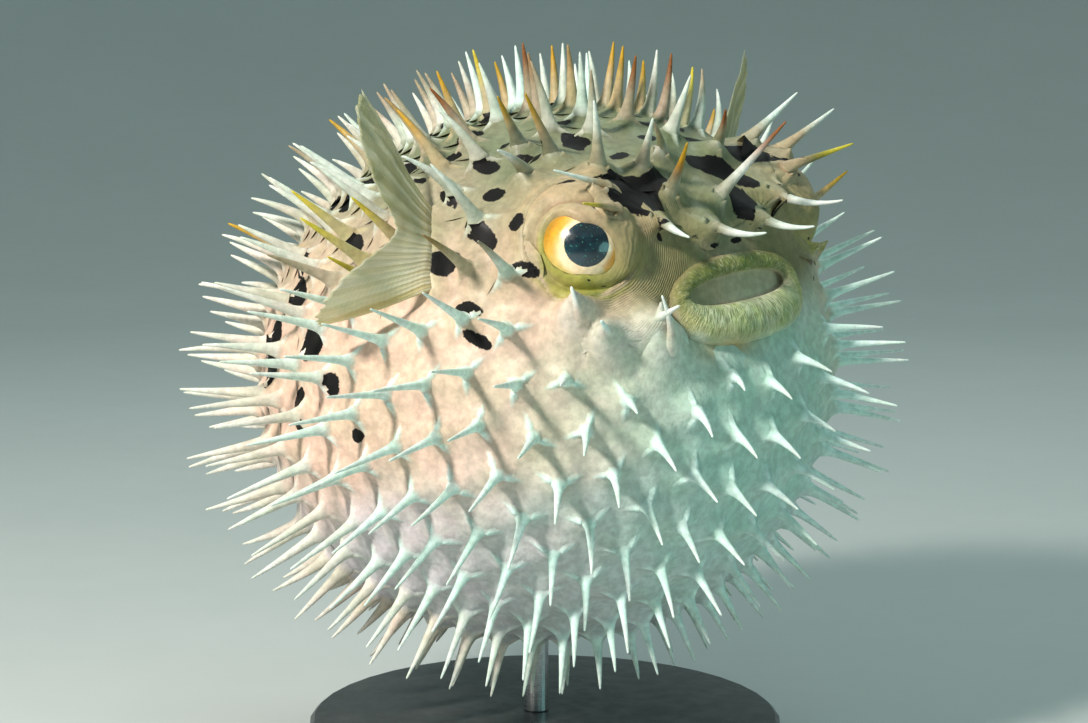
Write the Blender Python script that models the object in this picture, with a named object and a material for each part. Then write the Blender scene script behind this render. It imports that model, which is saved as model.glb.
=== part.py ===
"""Inflated porcupine pufferfish (long-spine balloonfish) at life size, on a plain display stand.

The fish is built in its own frame: the ball's centre at the origin, +X to the snout, +Y to the fish's left,
+Z to its back. One pose matrix then pitches and rolls it a little and lifts it onto the stand. Everything
on the fish is placed by two angles: how far a point lies from the mouth, and how far round from the back.
"""

import math

import bmesh
import bpy
import numpy as np
from mathutils import Matrix, Vector

# Driving dimensions, in metres and degrees.
BALL_SEMI_AXES = np.array([0.0905, 0.0865, 0.0815])
BALL_CENTRE_HEIGHT = 0.1195
NOSE_UP = 5.0
LEFT_SIDE_UP = 5.0
MOUTH_ELEVATION = 17.0
TAIL_ELEVATION = 12.0
PART_GAP = 0.0003

# Spines: a staggered lattice of rings round the line from the mouth to the tail.
FIRST_RING = 15.5
RING_STEP = 8.4
RING_COUNT = 17
SPINE_SPACING = 0.0144
ROOT_RADIUS = 0.0029
SHAFT_RADIUS = 0.00125
ROOT_LIFT = 0.0022
SIDE_LENGTH = 0.0270
BACK_LENGTH = 0.0205
BELLY_LENGTH = 0.0170
FOREHEAD_BARE = (40.0, 50.0)
OWN_ROOM = 7.5

# Spines of the head that stand apart from the lattice: from_mouth, around, length in mm, lean, the way it
# leans (0 is away from the mouth, 90 is round the fish's right), how far it bends over, and its stoutness.
HEAD_SPINES = (
    (26, 37, 20, 62, 145, -0.5, 1.2),
    (17, 16, 24, 50, 180, -1, 1.2),
    (19, -28, 24, 52, -153, -1, 1.1),
    (27, -36, 28, 53, -143, -1, 1.1),
    (20, -4, 32, 15, -78, 0, 1.2),
    (33, -42, 26, 40, -77, 0, 1.1),
    (25, 21, 22, 8, 58, 1, 1.2),
    (39, 31, 24, 12, -7, 1, 1.4),
    (33, 20, 20, 5, 62, 1, 1.2),
    (33, 7, 16, 32, 66, 1, 0.8),
    (35, -20, 20, 34, 113, 1, 1.2),
    (34, 38, 21, 64, 40, 0, 0.8),
    (31, 45, 18, 56, 52, 0, 0.8),
    (36, 82, 17, 40, -74, 1, 1.0),
    (31, 90, 16, 31, -53, 1, 1.0),
    (22, 104, 23, 52, -85, 1, 0.8),
    (25, 88, 18, 21, -160, 1, 1.0),
    (51, 38, 20, 30, 68, 1, 1.3),
    (49, 29, 26, 19, 43, 0, 1.3),
    (59, 26, 22, 17, 78, 0, 1.3),
    (44, -36, 24, 20, -70, 0, 1.2),
    (42, -44, 24, 23, -62, 0, 1.1),
)

# Swellings on the plain ellipsoid: height (below 0 for a hollow) and width in degrees.
MUZZLE_HOLLOW = (-0.0052, 20.0)
TAIL_SWELL = (0.0085, 15.0)
FOREHEAD_SWELL = (0.0062, 30.5)
FOREHEAD_FROM_MOUTH = 30.0
BROW_SWELL = (0.0124, 11.9)
BROW_PLACE = (39.4, 50.5)

# Head.
EYE_CENTRE = np.array([0.0628, -0.0416, 0.0431])
EYE_RADIUS = 0.0140
EYE_RIM_RADIUS = 0.0122
EYE_RIM_POINTS = 14
LID_WIDTH = 0.0016
LID_RISE = 0.0022
FOLD_PLACE = (21.0, 68.0)
FOLD_BARE = 9.0
EYE_BARE = 12.5
LIP_POINTS = 24
LIP_SQUARENESS = 2.4
MUZZLE_REACH = 0.0875
LIP_OUTER = np.array([0.0275, 0.0130])
LIP_DROP = 0.0029
LIP_OPENING = np.array([0.0205, 0.0040])
HEAD_CUT = 61.7

# Tail and fins.
TAIL_CUT = 145.7
TAIL_POINTS = 16
TAIL_BEND = 28.0
TAIL_LENGTH = 0.030
TAIL_ROOT_DISTANCE = 0.0850
TAIL_ROOT_SIZE = np.array([0.0235, 0.0215])
TAIL_END_SIZE = np.array([0.0042, 0.0095])
CAUDAL_LENGTH = 0.027
FIN_THICKNESS = 0.0010
PECTORAL_TOP = (70.0, 48.0)
PECTORAL_RUN = (-6.0, 18.0)
PECTORAL_LENGTH = 0.0410
PECTORAL_BARE = 5.5
FIN_CLEARANCE = 0.0042
ROD_CLEARANCE = 0.0028

# Stand.
BASE_RADIUS = 0.075
BASE_HEIGHT = 0.011
BASE_EDGE = 0.0015
ROD_RADIUS = 0.004
ROD_PLACE = Vector((-0.004, 0.0))

# First, middle and last ray of each pectoral fan in the right side's terms. The right fan is spread flat
# and back, the left one is turned further out to the side.
PECTORAL_HEADINGS = {
    1.0: ((-0.38, -0.10, 0.92), (0.60, -0.90, 0.05), (-0.72, -0.68, -0.24)),
    -1.0: ((0.28, -0.40, 0.86), (-0.60, -1.00, 0.30), (-0.80, -0.60, 0.00)),
}

COLOURS = {
    "skin": ((0.62, 0.55, 0.42, 1.0), 0.45, 0.0),
    "fin": ((0.52, 0.47, 0.24, 1.0), 0.40, 0.0),
    "eye": ((0.03, 0.05, 0.12, 1.0), 0.08, 0.0),
    "base": ((0.10, 0.10, 0.11, 1.0), 0.35, 0.0),
    "steel": ((0.62, 0.62, 0.63, 1.0), 0.28, 1.0),
}


def clear_scene():
    for obj in list(bpy.data.objects):
        bpy.data.objects.remove(obj, do_unlink=True)


def fish_pose():
    """The matrix from the fish's own frame to the stand's: nose a little up, left side a little up."""
    pitch = Matrix.Rotation(math.radians(-NOSE_UP), 4, "Y")
    roll = Matrix.Rotation(math.radians(LEFT_SIDE_UP), 4, "X")
    return Matrix.Translation((0.0, 0.0, BALL_CENTRE_HEIGHT)) @ pitch @ roll


POSE = fish_pose()


def material(name):
    colour, roughness, metallic = COLOURS[name]
    made = bpy.data.materials.get(name) or bpy.data.materials.new(name)
    made.use_nodes = True
    shader = made.node_tree.nodes["Principled BSDF"]
    shader.inputs["Base Color"].default_value = colour
    shader.inputs["Roughness"].default_value = roughness
    shader.inputs["Metallic"].default_value = metallic
    return made


def finish(name, bm, material_name, posed=True):
    """Turns a bmesh into a named object with outward faces, in the fish's pose or upright."""
    if posed:
        bm.transform(POSE)
    bmesh.ops.triangulate(bm, faces=bm.faces[:])
    bmesh.ops.recalc_face_normals(bm, faces=bm.faces[:])
    mesh = bpy.data.meshes.new(name)
    bm.to_mesh(mesh)
    bm.free()
    mesh.shade_smooth()
    mesh.set_sharp_from_angle(angle=math.radians(40))
    mesh.materials.append(material(material_name))
    obj = bpy.data.objects.new(name, mesh)
    bpy.context.scene.collection.objects.link(obj)
    return obj


def unit(vectors):
    return vectors / np.linalg.norm(vectors, axis=-1, keepdims=True)


def ring_axis(from_mouth):
    """The axis of the ring of directions at this angle: it swings from the mouth's line to the tail's."""
    swing = (MOUTH_ELEVATION + TAIL_ELEVATION) * np.asarray(from_mouth) / 180.0
    rise = np.radians(MOUTH_ELEVATION - swing)
    flat = np.zeros_like(rise)
    return (np.stack([np.cos(rise), flat, np.sin(rise)], -1),
            np.stack([-np.sin(rise), flat, np.cos(rise)], -1))


def direction(from_mouth, around):
    """The unit direction from_mouth degrees off the mouth and around degrees from the back to the right."""
    axis, up = ring_axis(from_mouth)
    away = np.radians(np.asarray(from_mouth, float))[..., None]
    turn = np.radians(np.asarray(around, float))[..., None]
    right = np.array([0.0, -1.0, 0.0])
    return axis * np.cos(away) + np.sin(away) * (up * np.cos(turn) + right * np.sin(turn))


def angle_between(directions, other):
    cosine = unit(directions) @ unit(np.asarray(other, float))
    return np.degrees(np.arccos(np.clip(cosine, -1.0, 1.0)))


MOUTH_LINE = direction(0.0, 0.0)
TAIL_LINE = direction(180.0, 0.0)
LEFT_EYE_CENTRE = EYE_CENTRE * np.array([1.0, -1.0, 1.0])


def bump(value, centre, width):
    return np.exp(-(((value - centre) / width) ** 2))


def swelling(directions, middle, size):
    """The rise of a smooth round swelling of size (height, width) about the middle direction."""
    height, width = size
    return height * bump(angle_between(directions, middle), 0.0, width)


def skin_point(directions, lift=0.0):
    """The skin along each direction: an ellipsoid with a flatter muzzle, a full forehead, brows over the eyes
    and a swelling where the tail begins."""
    radius = 1.0 / np.linalg.norm(directions / BALL_SEMI_AXES, axis=-1)
    radius = radius + swelling(directions, MOUTH_LINE, MUZZLE_HOLLOW)
    radius = radius + swelling(directions, TAIL_LINE, TAIL_SWELL)
    radius = radius + swelling(directions, direction(FOREHEAD_FROM_MOUTH, 0.0), FOREHEAD_SWELL)
    for side in (1.0, -1.0):
        radius = radius + swelling(directions, direction(BROW_PLACE[0], side * BROW_PLACE[1]), BROW_SWELL)
    return directions * (radius + lift)[..., None]


def skin_normal(directions):
    return unit(directions / BALL_SEMI_AXES**2)


def spine_length(from_mouth, around):
    """Long on the flanks, shorter over the back, shortest under the belly and near the mouth and tail."""
    height = math.cos(math.radians(around))
    length = SIDE_LENGTH
    length -= (SIDE_LENGTH - BACK_LENGTH) * max(height, 0.0) ** 2
    length -= (SIDE_LENGTH - BELLY_LENGTH) * max(-height, 0.0) ** 2
    length *= 1.0 - 0.38 * bump(from_mouth, 12.0, 20.0) * (height < 0.2)
    return length * (1.0 - 0.25 * bump(from_mouth, 160.0, 18.0))


def spine_lean(from_mouth, around):
    """Degrees that a spine leans back from upright on the skin, as a function of where it stands."""
    side = abs(around)
    lean = 6.0
    lean += 30.0 * bump(side, 38.0, 20.0) * bump(from_mouth, 62.0, 30.0)
    lean += 16.0 * bump(from_mouth, 135.0, 28.0)
    return lean + 22.0 * bump(from_mouth, 18.0, 10.0) * (side > 90.0)


def ease(value, start, end):
    """0 before start, 1 after end, and a smooth S between."""
    part = min(max((value - start) / (end - start), 0.0), 1.0)
    return part * part * (3.0 - 2.0 * part)


def stoutness(from_mouth, around):
    """How stout a spine is: 1 on the belly and the front of the flanks, more on the back and behind."""
    height = float(direction(from_mouth, around)[2])
    return 1.0 + 0.4 * max(ease(from_mouth, 70.0, 120.0), ease(height, 0.15, 0.60))


def has_no_spine(places):
    """True at the lips, the eyes, the folds before them, the fins' roots and where the head has its own."""
    directions = direction(places[:, 0], places[:, 1])
    _, up = ring_axis(0.0)
    off_mouth = np.stack([directions[..., 1], directions @ up], -1) * float(BALL_SEMI_AXES[0])
    bare = np.linalg.norm(off_mouth / (LIP_OUTER + 2.0 * ROOT_RADIUS), axis=-1) < 1.0
    bare |= (places[:, 0] < FOREHEAD_BARE[0]) & (np.abs(places[:, 1]) < FOREHEAD_BARE[1])
    for eye in (EYE_CENTRE, LEFT_EYE_CENTRE):
        bare |= angle_between(directions, eye) < EYE_BARE
    run = np.linspace(0.0, 1.0, 5)
    for side in (1.0, -1.0):
        bare |= angle_between(directions, direction(FOLD_PLACE[0], side * FOLD_PLACE[1])) < FOLD_BARE
        for point in direction(PECTORAL_TOP[0] + PECTORAL_RUN[0] * run,
                               side * (PECTORAL_TOP[1] + PECTORAL_RUN[1] * run)):
            bare |= angle_between(directions, point) < PECTORAL_BARE
    for row in HEAD_SPINES:
        bare |= angle_between(directions, direction(row[0], row[1])) < OWN_ROOM
    return bare


def spine_rows():
    """A row for every spine, as in HEAD_SPINES but in metres.

    The lattice has them evenly round each ring, every other ring shifted half a place.
    """
    places = []
    mean_radius = float(BALL_SEMI_AXES.mean())
    for ring in range(RING_COUNT):
        from_mouth = FIRST_RING + ring * RING_STEP
        ring_length = 2.0 * math.pi * mean_radius * math.sin(math.radians(from_mouth))
        count = round(ring_length / SPINE_SPACING)
        shift = 0.5 * (ring % 2)
        for place in range(count):
            around = (place + shift) * 360.0 / count
            places.append((from_mouth, (around + 180.0) % 360.0 - 180.0))
    places = np.array(places)
    rows = [(*place, spine_length(*place), spine_lean(*place), 0.0, 1.0, stoutness(*place))
            for place in places[~has_no_spine(places)]]
    rows += [(*row[:2], row[2] * 0.001, *row[3:]) for row in HEAD_SPINES]
    fins = np.concatenate([surface.reshape(-1, 3) for surface in fin_surfaces().values()])
    return [row for row in rows if stands_clear(row, fins)]


def stands_clear(row, fins):
    """False for a spine that would touch a fin, given as points, or the rod."""
    foot, middle, tip = spine_line(row)
    run = np.linspace(0.0, 1.0, 9)[:, None]
    samples = np.concatenate([foot + (middle - foot) * run, middle + (tip - middle) * run])
    if np.linalg.norm(samples[:, None, :] - fins, axis=-1).min() < FIN_CLEARANCE:
        return False
    standing = samples @ np.array(POSE.to_3x3()).T
    off_rod = np.hypot(standing[:, 0] - ROD_PLACE.x, standing[:, 1] - ROD_PLACE.y)
    return not ((off_rod < ROD_RADIUS + ROD_CLEARANCE) & (standing[:, 2] < 0.0)).any()


def spine_line(row):
    """The foot, the bend and the tip of a spine, which leans more past its bend, or less where bend is -1."""
    from_mouth, around, length, lean, heading, bend, _ = row
    foot, normal, back, across = spine_frame(from_mouth, around)
    side = back * math.cos(math.radians(heading)) + across * math.sin(math.radians(heading))
    low_lean = math.radians(lean * (1.0 - 0.4 * bend))
    high_lean = math.radians(lean * (1.0 + 0.2 * bend))
    low = normal * math.cos(low_lean) + side * math.sin(low_lean)
    high = normal * math.cos(high_lean) + side * math.sin(high_lean)
    middle = foot + low * length * 0.42
    return foot, middle, middle + high * length * 0.58


def spine_frame(from_mouth, around):
    """The foot's centre, the outward normal, the tangent away from the mouth and the one across it."""
    way = direction(from_mouth, around)
    normal = skin_normal(way)
    axis, _ = ring_axis(from_mouth)
    back = unit(-axis + normal * float(axis @ normal))
    return skin_point(way, 0.0), normal, back, np.cross(normal, back)


def root_corners(row):
    """Three corners of a spine's foot, one behind and two in front, raised a little off the skin."""
    foot, normal, back, across = spine_frame(*row[:2])
    turns = np.radians([0.0, 120.0, 240.0])
    ring = np.cos(turns)[:, None] * back + np.sin(turns)[:, None] * across
    return foot + ring * ROOT_RADIUS + normal * ROOT_LIFT


def mouth_ring(half_size, lift, drop=0.0):
    """A ring of LIP_POINTS directions round the mouth, a soft oval moved down by drop, and the skin there."""
    turns = np.arange(LIP_POINTS) * 2.0 * math.pi / LIP_POINTS
    axis, up = ring_axis(0.0)
    power = LIP_SQUARENESS
    squash = (np.abs(np.cos(turns)) ** power + np.abs(np.sin(turns)) ** power) ** (-1.0 / power)
    across = np.cos(turns) * squash * half_size[0]
    rise = np.sin(turns) * squash * half_size[1] - drop
    ahead = np.sqrt(MUZZLE_REACH**2 - across**2 - rise**2)
    ways = unit(ahead[:, None] * axis + rise[:, None] * up + across[:, None] * np.array([0.0, 1.0, 0.0]))
    return skin_point(ways, lift)


def tail_ring(way_along):
    """One ring round the tail, way_along from 0 at the ball to 1 at the tail fin, on its bent centre line."""
    turns = np.arange(TAIL_POINTS) * 2.0 * math.pi / TAIL_POINTS
    centre, along, across, up = tail_frame(way_along)
    ease = way_along ** 0.55
    size = TAIL_ROOT_SIZE + (TAIL_END_SIZE - TAIL_ROOT_SIZE) * ease
    return (centre + np.cos(turns)[:, None] * across * size[0] + np.sin(turns)[:, None] * up * size[1])


def tail_frame(way_along):
    """Centre, direction, sideways and upward unit vectors of the tail, which bends to the fish's left."""
    bend = math.radians(TAIL_BEND)
    turned = bend * way_along
    rise = 0.5 * turned * math.sin(math.radians(TAIL_ELEVATION))
    run = np.array([-math.sin(turned), 1.0 - math.cos(turned), rise])
    centre = TAIL_LINE * TAIL_ROOT_DISTANCE + run * TAIL_LENGTH / bend
    heading = math.pi - turned
    along = np.array([math.cos(heading), math.sin(heading), 0.0])
    across = np.array([-math.sin(heading), math.cos(heading), 0.0])
    return centre, along, across, np.array([0.0, 0.0, 1.0])


def eye_rim(eye):
    """A ring of skin points round an eye, set on the eyeball's own slope."""
    outward = unit(eye)
    side = unit(np.cross(outward, np.array([0.0, 0.0, 1.0])))
    rise = np.cross(side, outward)
    turns = np.arange(EYE_RIM_POINTS) * 2.0 * math.pi / EYE_RIM_POINTS
    reach = math.sqrt(EYE_RADIUS**2 - EYE_RIM_RADIUS**2) + LID_RISE
    ring = np.cos(turns)[:, None] * side + np.sin(turns)[:, None] * rise
    return eye + outward * reach + ring * (EYE_RIM_RADIUS + LID_WIDTH)


def fold_points(side):
    """Skin points over the bare folded skin in front of an eye, in the middle and away from the lips."""
    turns = np.radians([0.0, 90.0, 270.0])
    reach = FOLD_BARE * 0.5
    from_mouth = FOLD_PLACE[0] + reach * np.cos(turns)
    around = FOLD_PLACE[1] + reach * np.sin(turns) / math.sin(math.radians(FOLD_PLACE[0]))
    middle = skin_point(direction(np.array([FOLD_PLACE[0]]), np.array([side * FOLD_PLACE[1]])))
    return np.concatenate([middle, skin_point(direction(from_mouth, side * around))])


def body_hull(rows):
    """The whole closed skin with a small three-cornered foot for each spine, and the two end rings.

    Every point is put on the unit sphere, where the convex hull of the points is their best triangulation,
    and each triangle then takes its real corners.
    """
    roots = np.array([root_corners(row) for row in rows]).reshape(-1, 3)
    lips = mouth_ring(LIP_OUTER, 0.0006, LIP_DROP)
    tail = tail_ring(0.0)
    rims = np.concatenate([eye_rim(EYE_CENTRE), eye_rim(LEFT_EYE_CENTRE)])
    points = np.concatenate([roots, lips, tail, rims, fold_points(1.0), fold_points(-1.0)])
    bm = bmesh.new()
    mark = bm.verts.layers.int.new("place")
    for index, way in enumerate(unit(points)):
        bm.verts.new(way)[mark] = index + 1
    bmesh.ops.convex_hull(bm, input=bm.verts[:])
    for vert in bm.verts:
        vert.co = points[vert[mark] - 1]
    ends = {"lips": range(len(roots), len(roots) + len(lips)),
            "tail": range(len(roots) + len(lips), len(roots) + len(lips) + len(tail))}
    return bm, mark, ends


def open_end(bm, mark, indices):
    """Removes the hull's faces that lie wholly inside one end ring, and returns the ring's vertices."""
    wanted = {index + 1 for index in indices}
    inside = [face for face in bm.faces if all(vert[mark] in wanted for vert in face.verts)]
    bmesh.ops.delete(bm, geom=inside, context="FACES")
    by_mark = {vert[mark]: vert for vert in bm.verts}
    return [by_mark[index + 1] for index in indices]


def add_ring(bm, before, points):
    """Joins a new ring of points to the ring before with quads, and returns the new vertices."""
    after = [bm.verts.new(point) for point in points]
    count = len(after)
    for index in range(count):
        following = (index + 1) % count
        bm.faces.new((before[index], before[following], after[following], after[index]))
    return after


def close_ring(bm, ring, centre):
    tip = bm.verts.new(centre)
    for index in range(len(ring)):
        bm.faces.new((ring[index], ring[(index + 1) % len(ring)], tip))


def shape_mouth(bm, ring):
    """Rolls the lips out and in again round the opening, and closes the mouth at the back of its hollow."""
    between = LIP_OUTER - LIP_OPENING
    ring = add_ring(bm, ring, mouth_ring(LIP_OPENING + between * 0.80, 0.0050, LIP_DROP * 0.80))
    ring = add_ring(bm, ring, mouth_ring(LIP_OPENING + between * 0.30, 0.0056, LIP_DROP * 0.30))
    ring = add_ring(bm, ring, mouth_ring(LIP_OPENING, 0.0025))
    ring = add_ring(bm, ring, mouth_ring(LIP_OPENING * 0.93, -0.0070))
    close_ring(bm, ring, skin_point(MOUTH_LINE, -0.0080))


def shape_tail(bm, ring):
    for way_along in (0.22, 0.5, 0.78, 1.0):
        ring = add_ring(bm, ring, tail_ring(way_along))
    close_ring(bm, ring, tail_frame(1.0)[0])


def raise_spine(bm, face, row):
    """Draws a foot triangle out into a spine of two lengths."""
    _, middle, tip = spine_line(row)
    corners = list(face.verts)
    bm.faces.remove(face)
    centre = sum((corner.co for corner in corners), Vector()) / 3.0
    drawn = []
    for corner in corners:
        spread = np.array((corner.co - centre).normalized()) * SHAFT_RADIUS * row[6]
        drawn.append(bm.verts.new(middle + spread))
    for index in range(3):
        following = (index + 1) % 3
        bm.faces.new((corners[index], corners[following], drawn[following], drawn[index]))
    close_ring(bm, drawn, tip)


def spine_faces(bm, mark, rows):
    """Each spine's place with the hull face that is its foot."""
    found = []
    for face in bm.faces:
        marks = sorted(vert[mark] for vert in face.verts)
        if len(marks) == 3 and marks[0] > 0 and marks[2] <= 3 * len(rows):
            spine = (marks[0] - 1) // 3
            if marks == [3 * spine + 1, 3 * spine + 2, 3 * spine + 3]:
                found.append((face, rows[spine]))
    return found


def cut_by_ring(bm, from_mouth, keep_front):
    """Keeps one side of the plane of a ring, and closes the cut with a flat face."""
    axis, _ = ring_axis(from_mouth)
    reach = float(np.mean(skin_point(direction(from_mouth, np.array([0.0, 180.0]))) @ axis))
    shift = PART_GAP * 0.5 * (1.0 if keep_front else -1.0)
    cut = bmesh.ops.bisect_plane(
        bm, geom=bm.verts[:] + bm.edges[:] + bm.faces[:], dist=1e-6,
        plane_co=Vector(axis * (reach + shift)), plane_no=Vector(axis),
        clear_inner=keep_front, clear_outer=not keep_front)
    edges = [item for item in cut["geom_cut"] if isinstance(item, bmesh.types.BMEdge)]
    bmesh.ops.holes_fill(bm, edges=edges, sides=0)


def body_part(front, back, rows):
    """The closed skin between two rings (None for an end of the fish), with its own spines drawn out."""
    bm, mark, ends = body_hull(rows)
    shape_mouth(bm, open_end(bm, mark, ends["lips"]))
    shape_tail(bm, open_end(bm, mark, ends["tail"]))
    if front is not None:
        cut_by_ring(bm, front, keep_front=False)
    if back is not None:
        cut_by_ring(bm, back, keep_front=True)
    for face, row in spine_faces(bm, mark, rows):
        raise_spine(bm, face, row)
    return bm


def make_ball(name, centre, radius, material_name):
    bm = bmesh.new()
    bmesh.ops.create_uvsphere(bm, u_segments=14, v_segments=8, radius=radius)
    bmesh.ops.translate(bm, verts=bm.verts[:], vec=Vector(centre))
    return finish(name, bm, material_name)


def make_eyes(head):
    """Two eyeballs, each in a socket that a slightly larger ball cuts from the head."""
    for name, centre in (("right", EYE_CENTRE), ("left", LEFT_EYE_CENTRE)):
        make_ball("eye_" + name, centre, EYE_RADIUS, "eye")
        cutter = make_ball("cut_socket_" + name, centre, EYE_RADIUS + PART_GAP, "skin")
        cutter.hide_render = True
        cutter.display_type = "WIRE"
        socket = head.modifiers.new("socket_" + name, "BOOLEAN")
        socket.operation = "DIFFERENCE"
        socket.solver = "EXACT"
        socket.object = cutter


def fin_solid(name, middle, thickness):
    """A closed fin from a grid of points on its middle surface, shaped (rays, steps, 3).

    Each side stands off by half the thickness along the surface's own normal, thinner to the margin.
    """
    along_rays = np.gradient(middle, axis=0)
    along_steps = np.gradient(middle, axis=1)
    normals = unit(np.cross(along_rays, along_steps))
    taper = np.linspace(1.0, 0.55, middle.shape[1])[None, :, None]
    bm = bmesh.new()
    sides = []
    for side in (0.5, -0.5):
        points = middle + normals * side * thickness * taper
        sides.append([[bm.verts.new(point) for point in row] for row in points])
    rays, steps = middle.shape[:2]
    for ray in range(rays - 1):
        for step in range(steps - 1):
            for side in sides:
                near, far = side[ray], side[ray + 1]
                bm.faces.new((near[step], far[step], far[step + 1], near[step + 1]))
    border = [(ray, 0) for ray in range(rays)]
    border += [(rays - 1, step) for step in range(1, steps)]
    border += [(ray, steps - 1) for ray in range(rays - 2, -1, -1)]
    border += [(0, step) for step in range(steps - 2, 0, -1)]
    for here, there in zip(border, border[1:] + border[:1]):
        bm.faces.new((sides[0][here[0]][here[1]], sides[0][there[0]][there[1]],
                      sides[1][there[0]][there[1]], sides[1][here[0]][here[1]]))
    return finish(name, bm, "fin")


def pectoral_surface(side):
    """The pectoral fan: its rays swing from up over the shoulder, out to the side, to back along the flank.

    side is 1 on the fish's right and -1 on its left. The margin is notched between the two lobes.
    """
    rays = np.linspace(0.0, 1.0, 13)
    steps = np.linspace(0.0, 1.0, 5)
    root = direction(PECTORAL_TOP[0] + PECTORAL_RUN[0] * rays, PECTORAL_TOP[1] + PECTORAL_RUN[1] * rays)
    base = skin_point(root, 0.0028)
    first, middle, last = (unit(np.array(way)) for way in PECTORAL_HEADINGS[side])
    weight = rays[:, None]
    heading = unit(first * (1.0 - weight) ** 2 + middle * 2.6 * weight * (1.0 - weight) + last * weight**2)
    reach = PECTORAL_LENGTH * (1.0 - 0.20 * rays - 0.58 * bump(rays, 0.42, 0.24))
    curl = np.array([-0.20, 0.05, 0.0])
    spread = steps[None, :, None]
    surface = base[:, None, :] + heading[:, None, :] * reach[:, None, None] * spread
    surface = surface + curl * reach[:, None, None] * spread**2 * 0.45
    return surface * np.array([1.0, side, 1.0])


def vertical_fin_surface(at_back):
    """A rounded fin on the tail's midline, above it (dorsal) or below it (anal)."""
    rays = np.linspace(0.0, 1.0, 11)
    steps = np.linspace(0.0, 1.0, 5)
    upward = 1.0 if at_back else -1.0
    frames = [tail_frame(0.16 + 0.50 * ray) for ray in rays]
    centres = np.array([frame[0] for frame in frames])
    alongs = np.array([frame[1] for frame in frames])
    size = TAIL_ROOT_SIZE[1] + (TAIL_END_SIZE[1] - TAIL_ROOT_SIZE[1]) * (0.16 + 0.50 * rays) ** 0.55
    base = centres + np.array([0.0, 0.0, 1.0]) * (upward * (size + PART_GAP * 3.0))[:, None]
    slope = np.radians(62.0 - 48.0 * rays)
    heading = alongs * np.cos(slope)[:, None] + np.array([0.0, 0.0, upward]) * np.sin(slope)[:, None]
    reach = 0.0250 * np.sin(np.pi * (0.16 + 0.62 * rays)) ** 0.5
    return base[:, None, :] + heading[:, None, :] * reach[:, None, None] * steps[None, :, None]


def caudal_surface():
    """The rounded tail fin, a fan of rays from the end of the tail."""
    rays = np.linspace(-1.0, 1.0, 13)
    steps = np.linspace(0.0, 1.0, 5)
    centre, along, _, up = tail_frame(1.0)
    base = centre + along * PART_GAP * 2.0 + up * (rays * TAIL_END_SIZE[1] * 0.94)[:, None]
    spread = np.radians(27.0 * rays)
    heading = along * np.cos(spread)[:, None] + up * np.sin(spread)[:, None]
    reach = CAUDAL_LENGTH * (1.0 - 0.16 * rays**2)
    return base[:, None, :] + heading[:, None, :] * reach[:, None, None] * steps[None, :, None]


def fin_surfaces():
    """The middle surface of every fin, by name."""
    return {"pectoral_fin_right": pectoral_surface(1.0), "pectoral_fin_left": pectoral_surface(-1.0),
            "dorsal_fin": vertical_fin_surface(True), "anal_fin": vertical_fin_surface(False),
            "caudal_fin": caudal_surface()}


def make_stand(trunk):
    """A round turned base with a chamfered edge, and one slim rod up to the belly."""
    bm = bmesh.new()
    profile = [(0.0, 0.0), (BASE_RADIUS, 0.0), (BASE_RADIUS, BASE_HEIGHT - BASE_EDGE),
               (BASE_RADIUS - BASE_EDGE, BASE_HEIGHT), (0.0, BASE_HEIGHT)]
    edges = []
    verts = [bm.verts.new((radius, 0.0, height)) for radius, height in profile]
    for first, second in zip(verts, verts[1:]):
        edges.append(bm.edges.new((first, second)))
    bmesh.ops.spin(bm, geom=verts + edges, cent=(0, 0, 0), axis=(0, 0, 1), angle=2 * math.pi, steps=40,
                   use_merge=True, use_duplicate=False)
    bmesh.ops.remove_doubles(bm, verts=bm.verts[:], dist=1e-6)
    finish("stand_base", bm, "base", posed=False)
    top = lowest_over_rod(trunk) - PART_GAP
    bottom = BASE_HEIGHT + PART_GAP
    bm = bmesh.new()
    place = Matrix.Translation((ROD_PLACE.x, ROD_PLACE.y, (top + bottom) / 2.0))
    bmesh.ops.create_cone(bm, cap_ends=True, segments=20, radius1=ROD_RADIUS, radius2=ROD_RADIUS,
                          depth=top - bottom, matrix=place)
    finish("stand_rod", bm, "steel", posed=False)


def lowest_over_rod(trunk):
    """The lowest height of the belly within the rod's circle, found by rays up from the floor."""
    heights = []
    for turn in np.linspace(0.0, 2.0 * math.pi, 24, endpoint=False):
        for reach in (0.0, 0.5, 1.03):
            start = Vector((ROD_PLACE.x + math.cos(turn) * ROD_RADIUS * reach,
                            ROD_PLACE.y + math.sin(turn) * ROD_RADIUS * reach, 0.0))
            hit, point, _, _ = trunk.ray_cast(start, Vector((0.0, 0.0, 1.0)))
            if hit:
                heights.append(point.z)
    return min(heights)


def main():
    clear_scene()
    rows = spine_rows()
    head = finish("head", body_part(None, HEAD_CUT, rows), "skin")
    trunk = finish("trunk", body_part(HEAD_CUT, TAIL_CUT, rows), "skin")
    finish("tail", body_part(TAIL_CUT, None, rows), "skin")
    make_eyes(head)
    for name, surface in fin_surfaces().items():
        fin_solid(name, surface, FIN_THICKNESS)
    bpy.context.view_layer.update()
    make_stand(trunk)


main()
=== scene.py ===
import math

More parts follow.
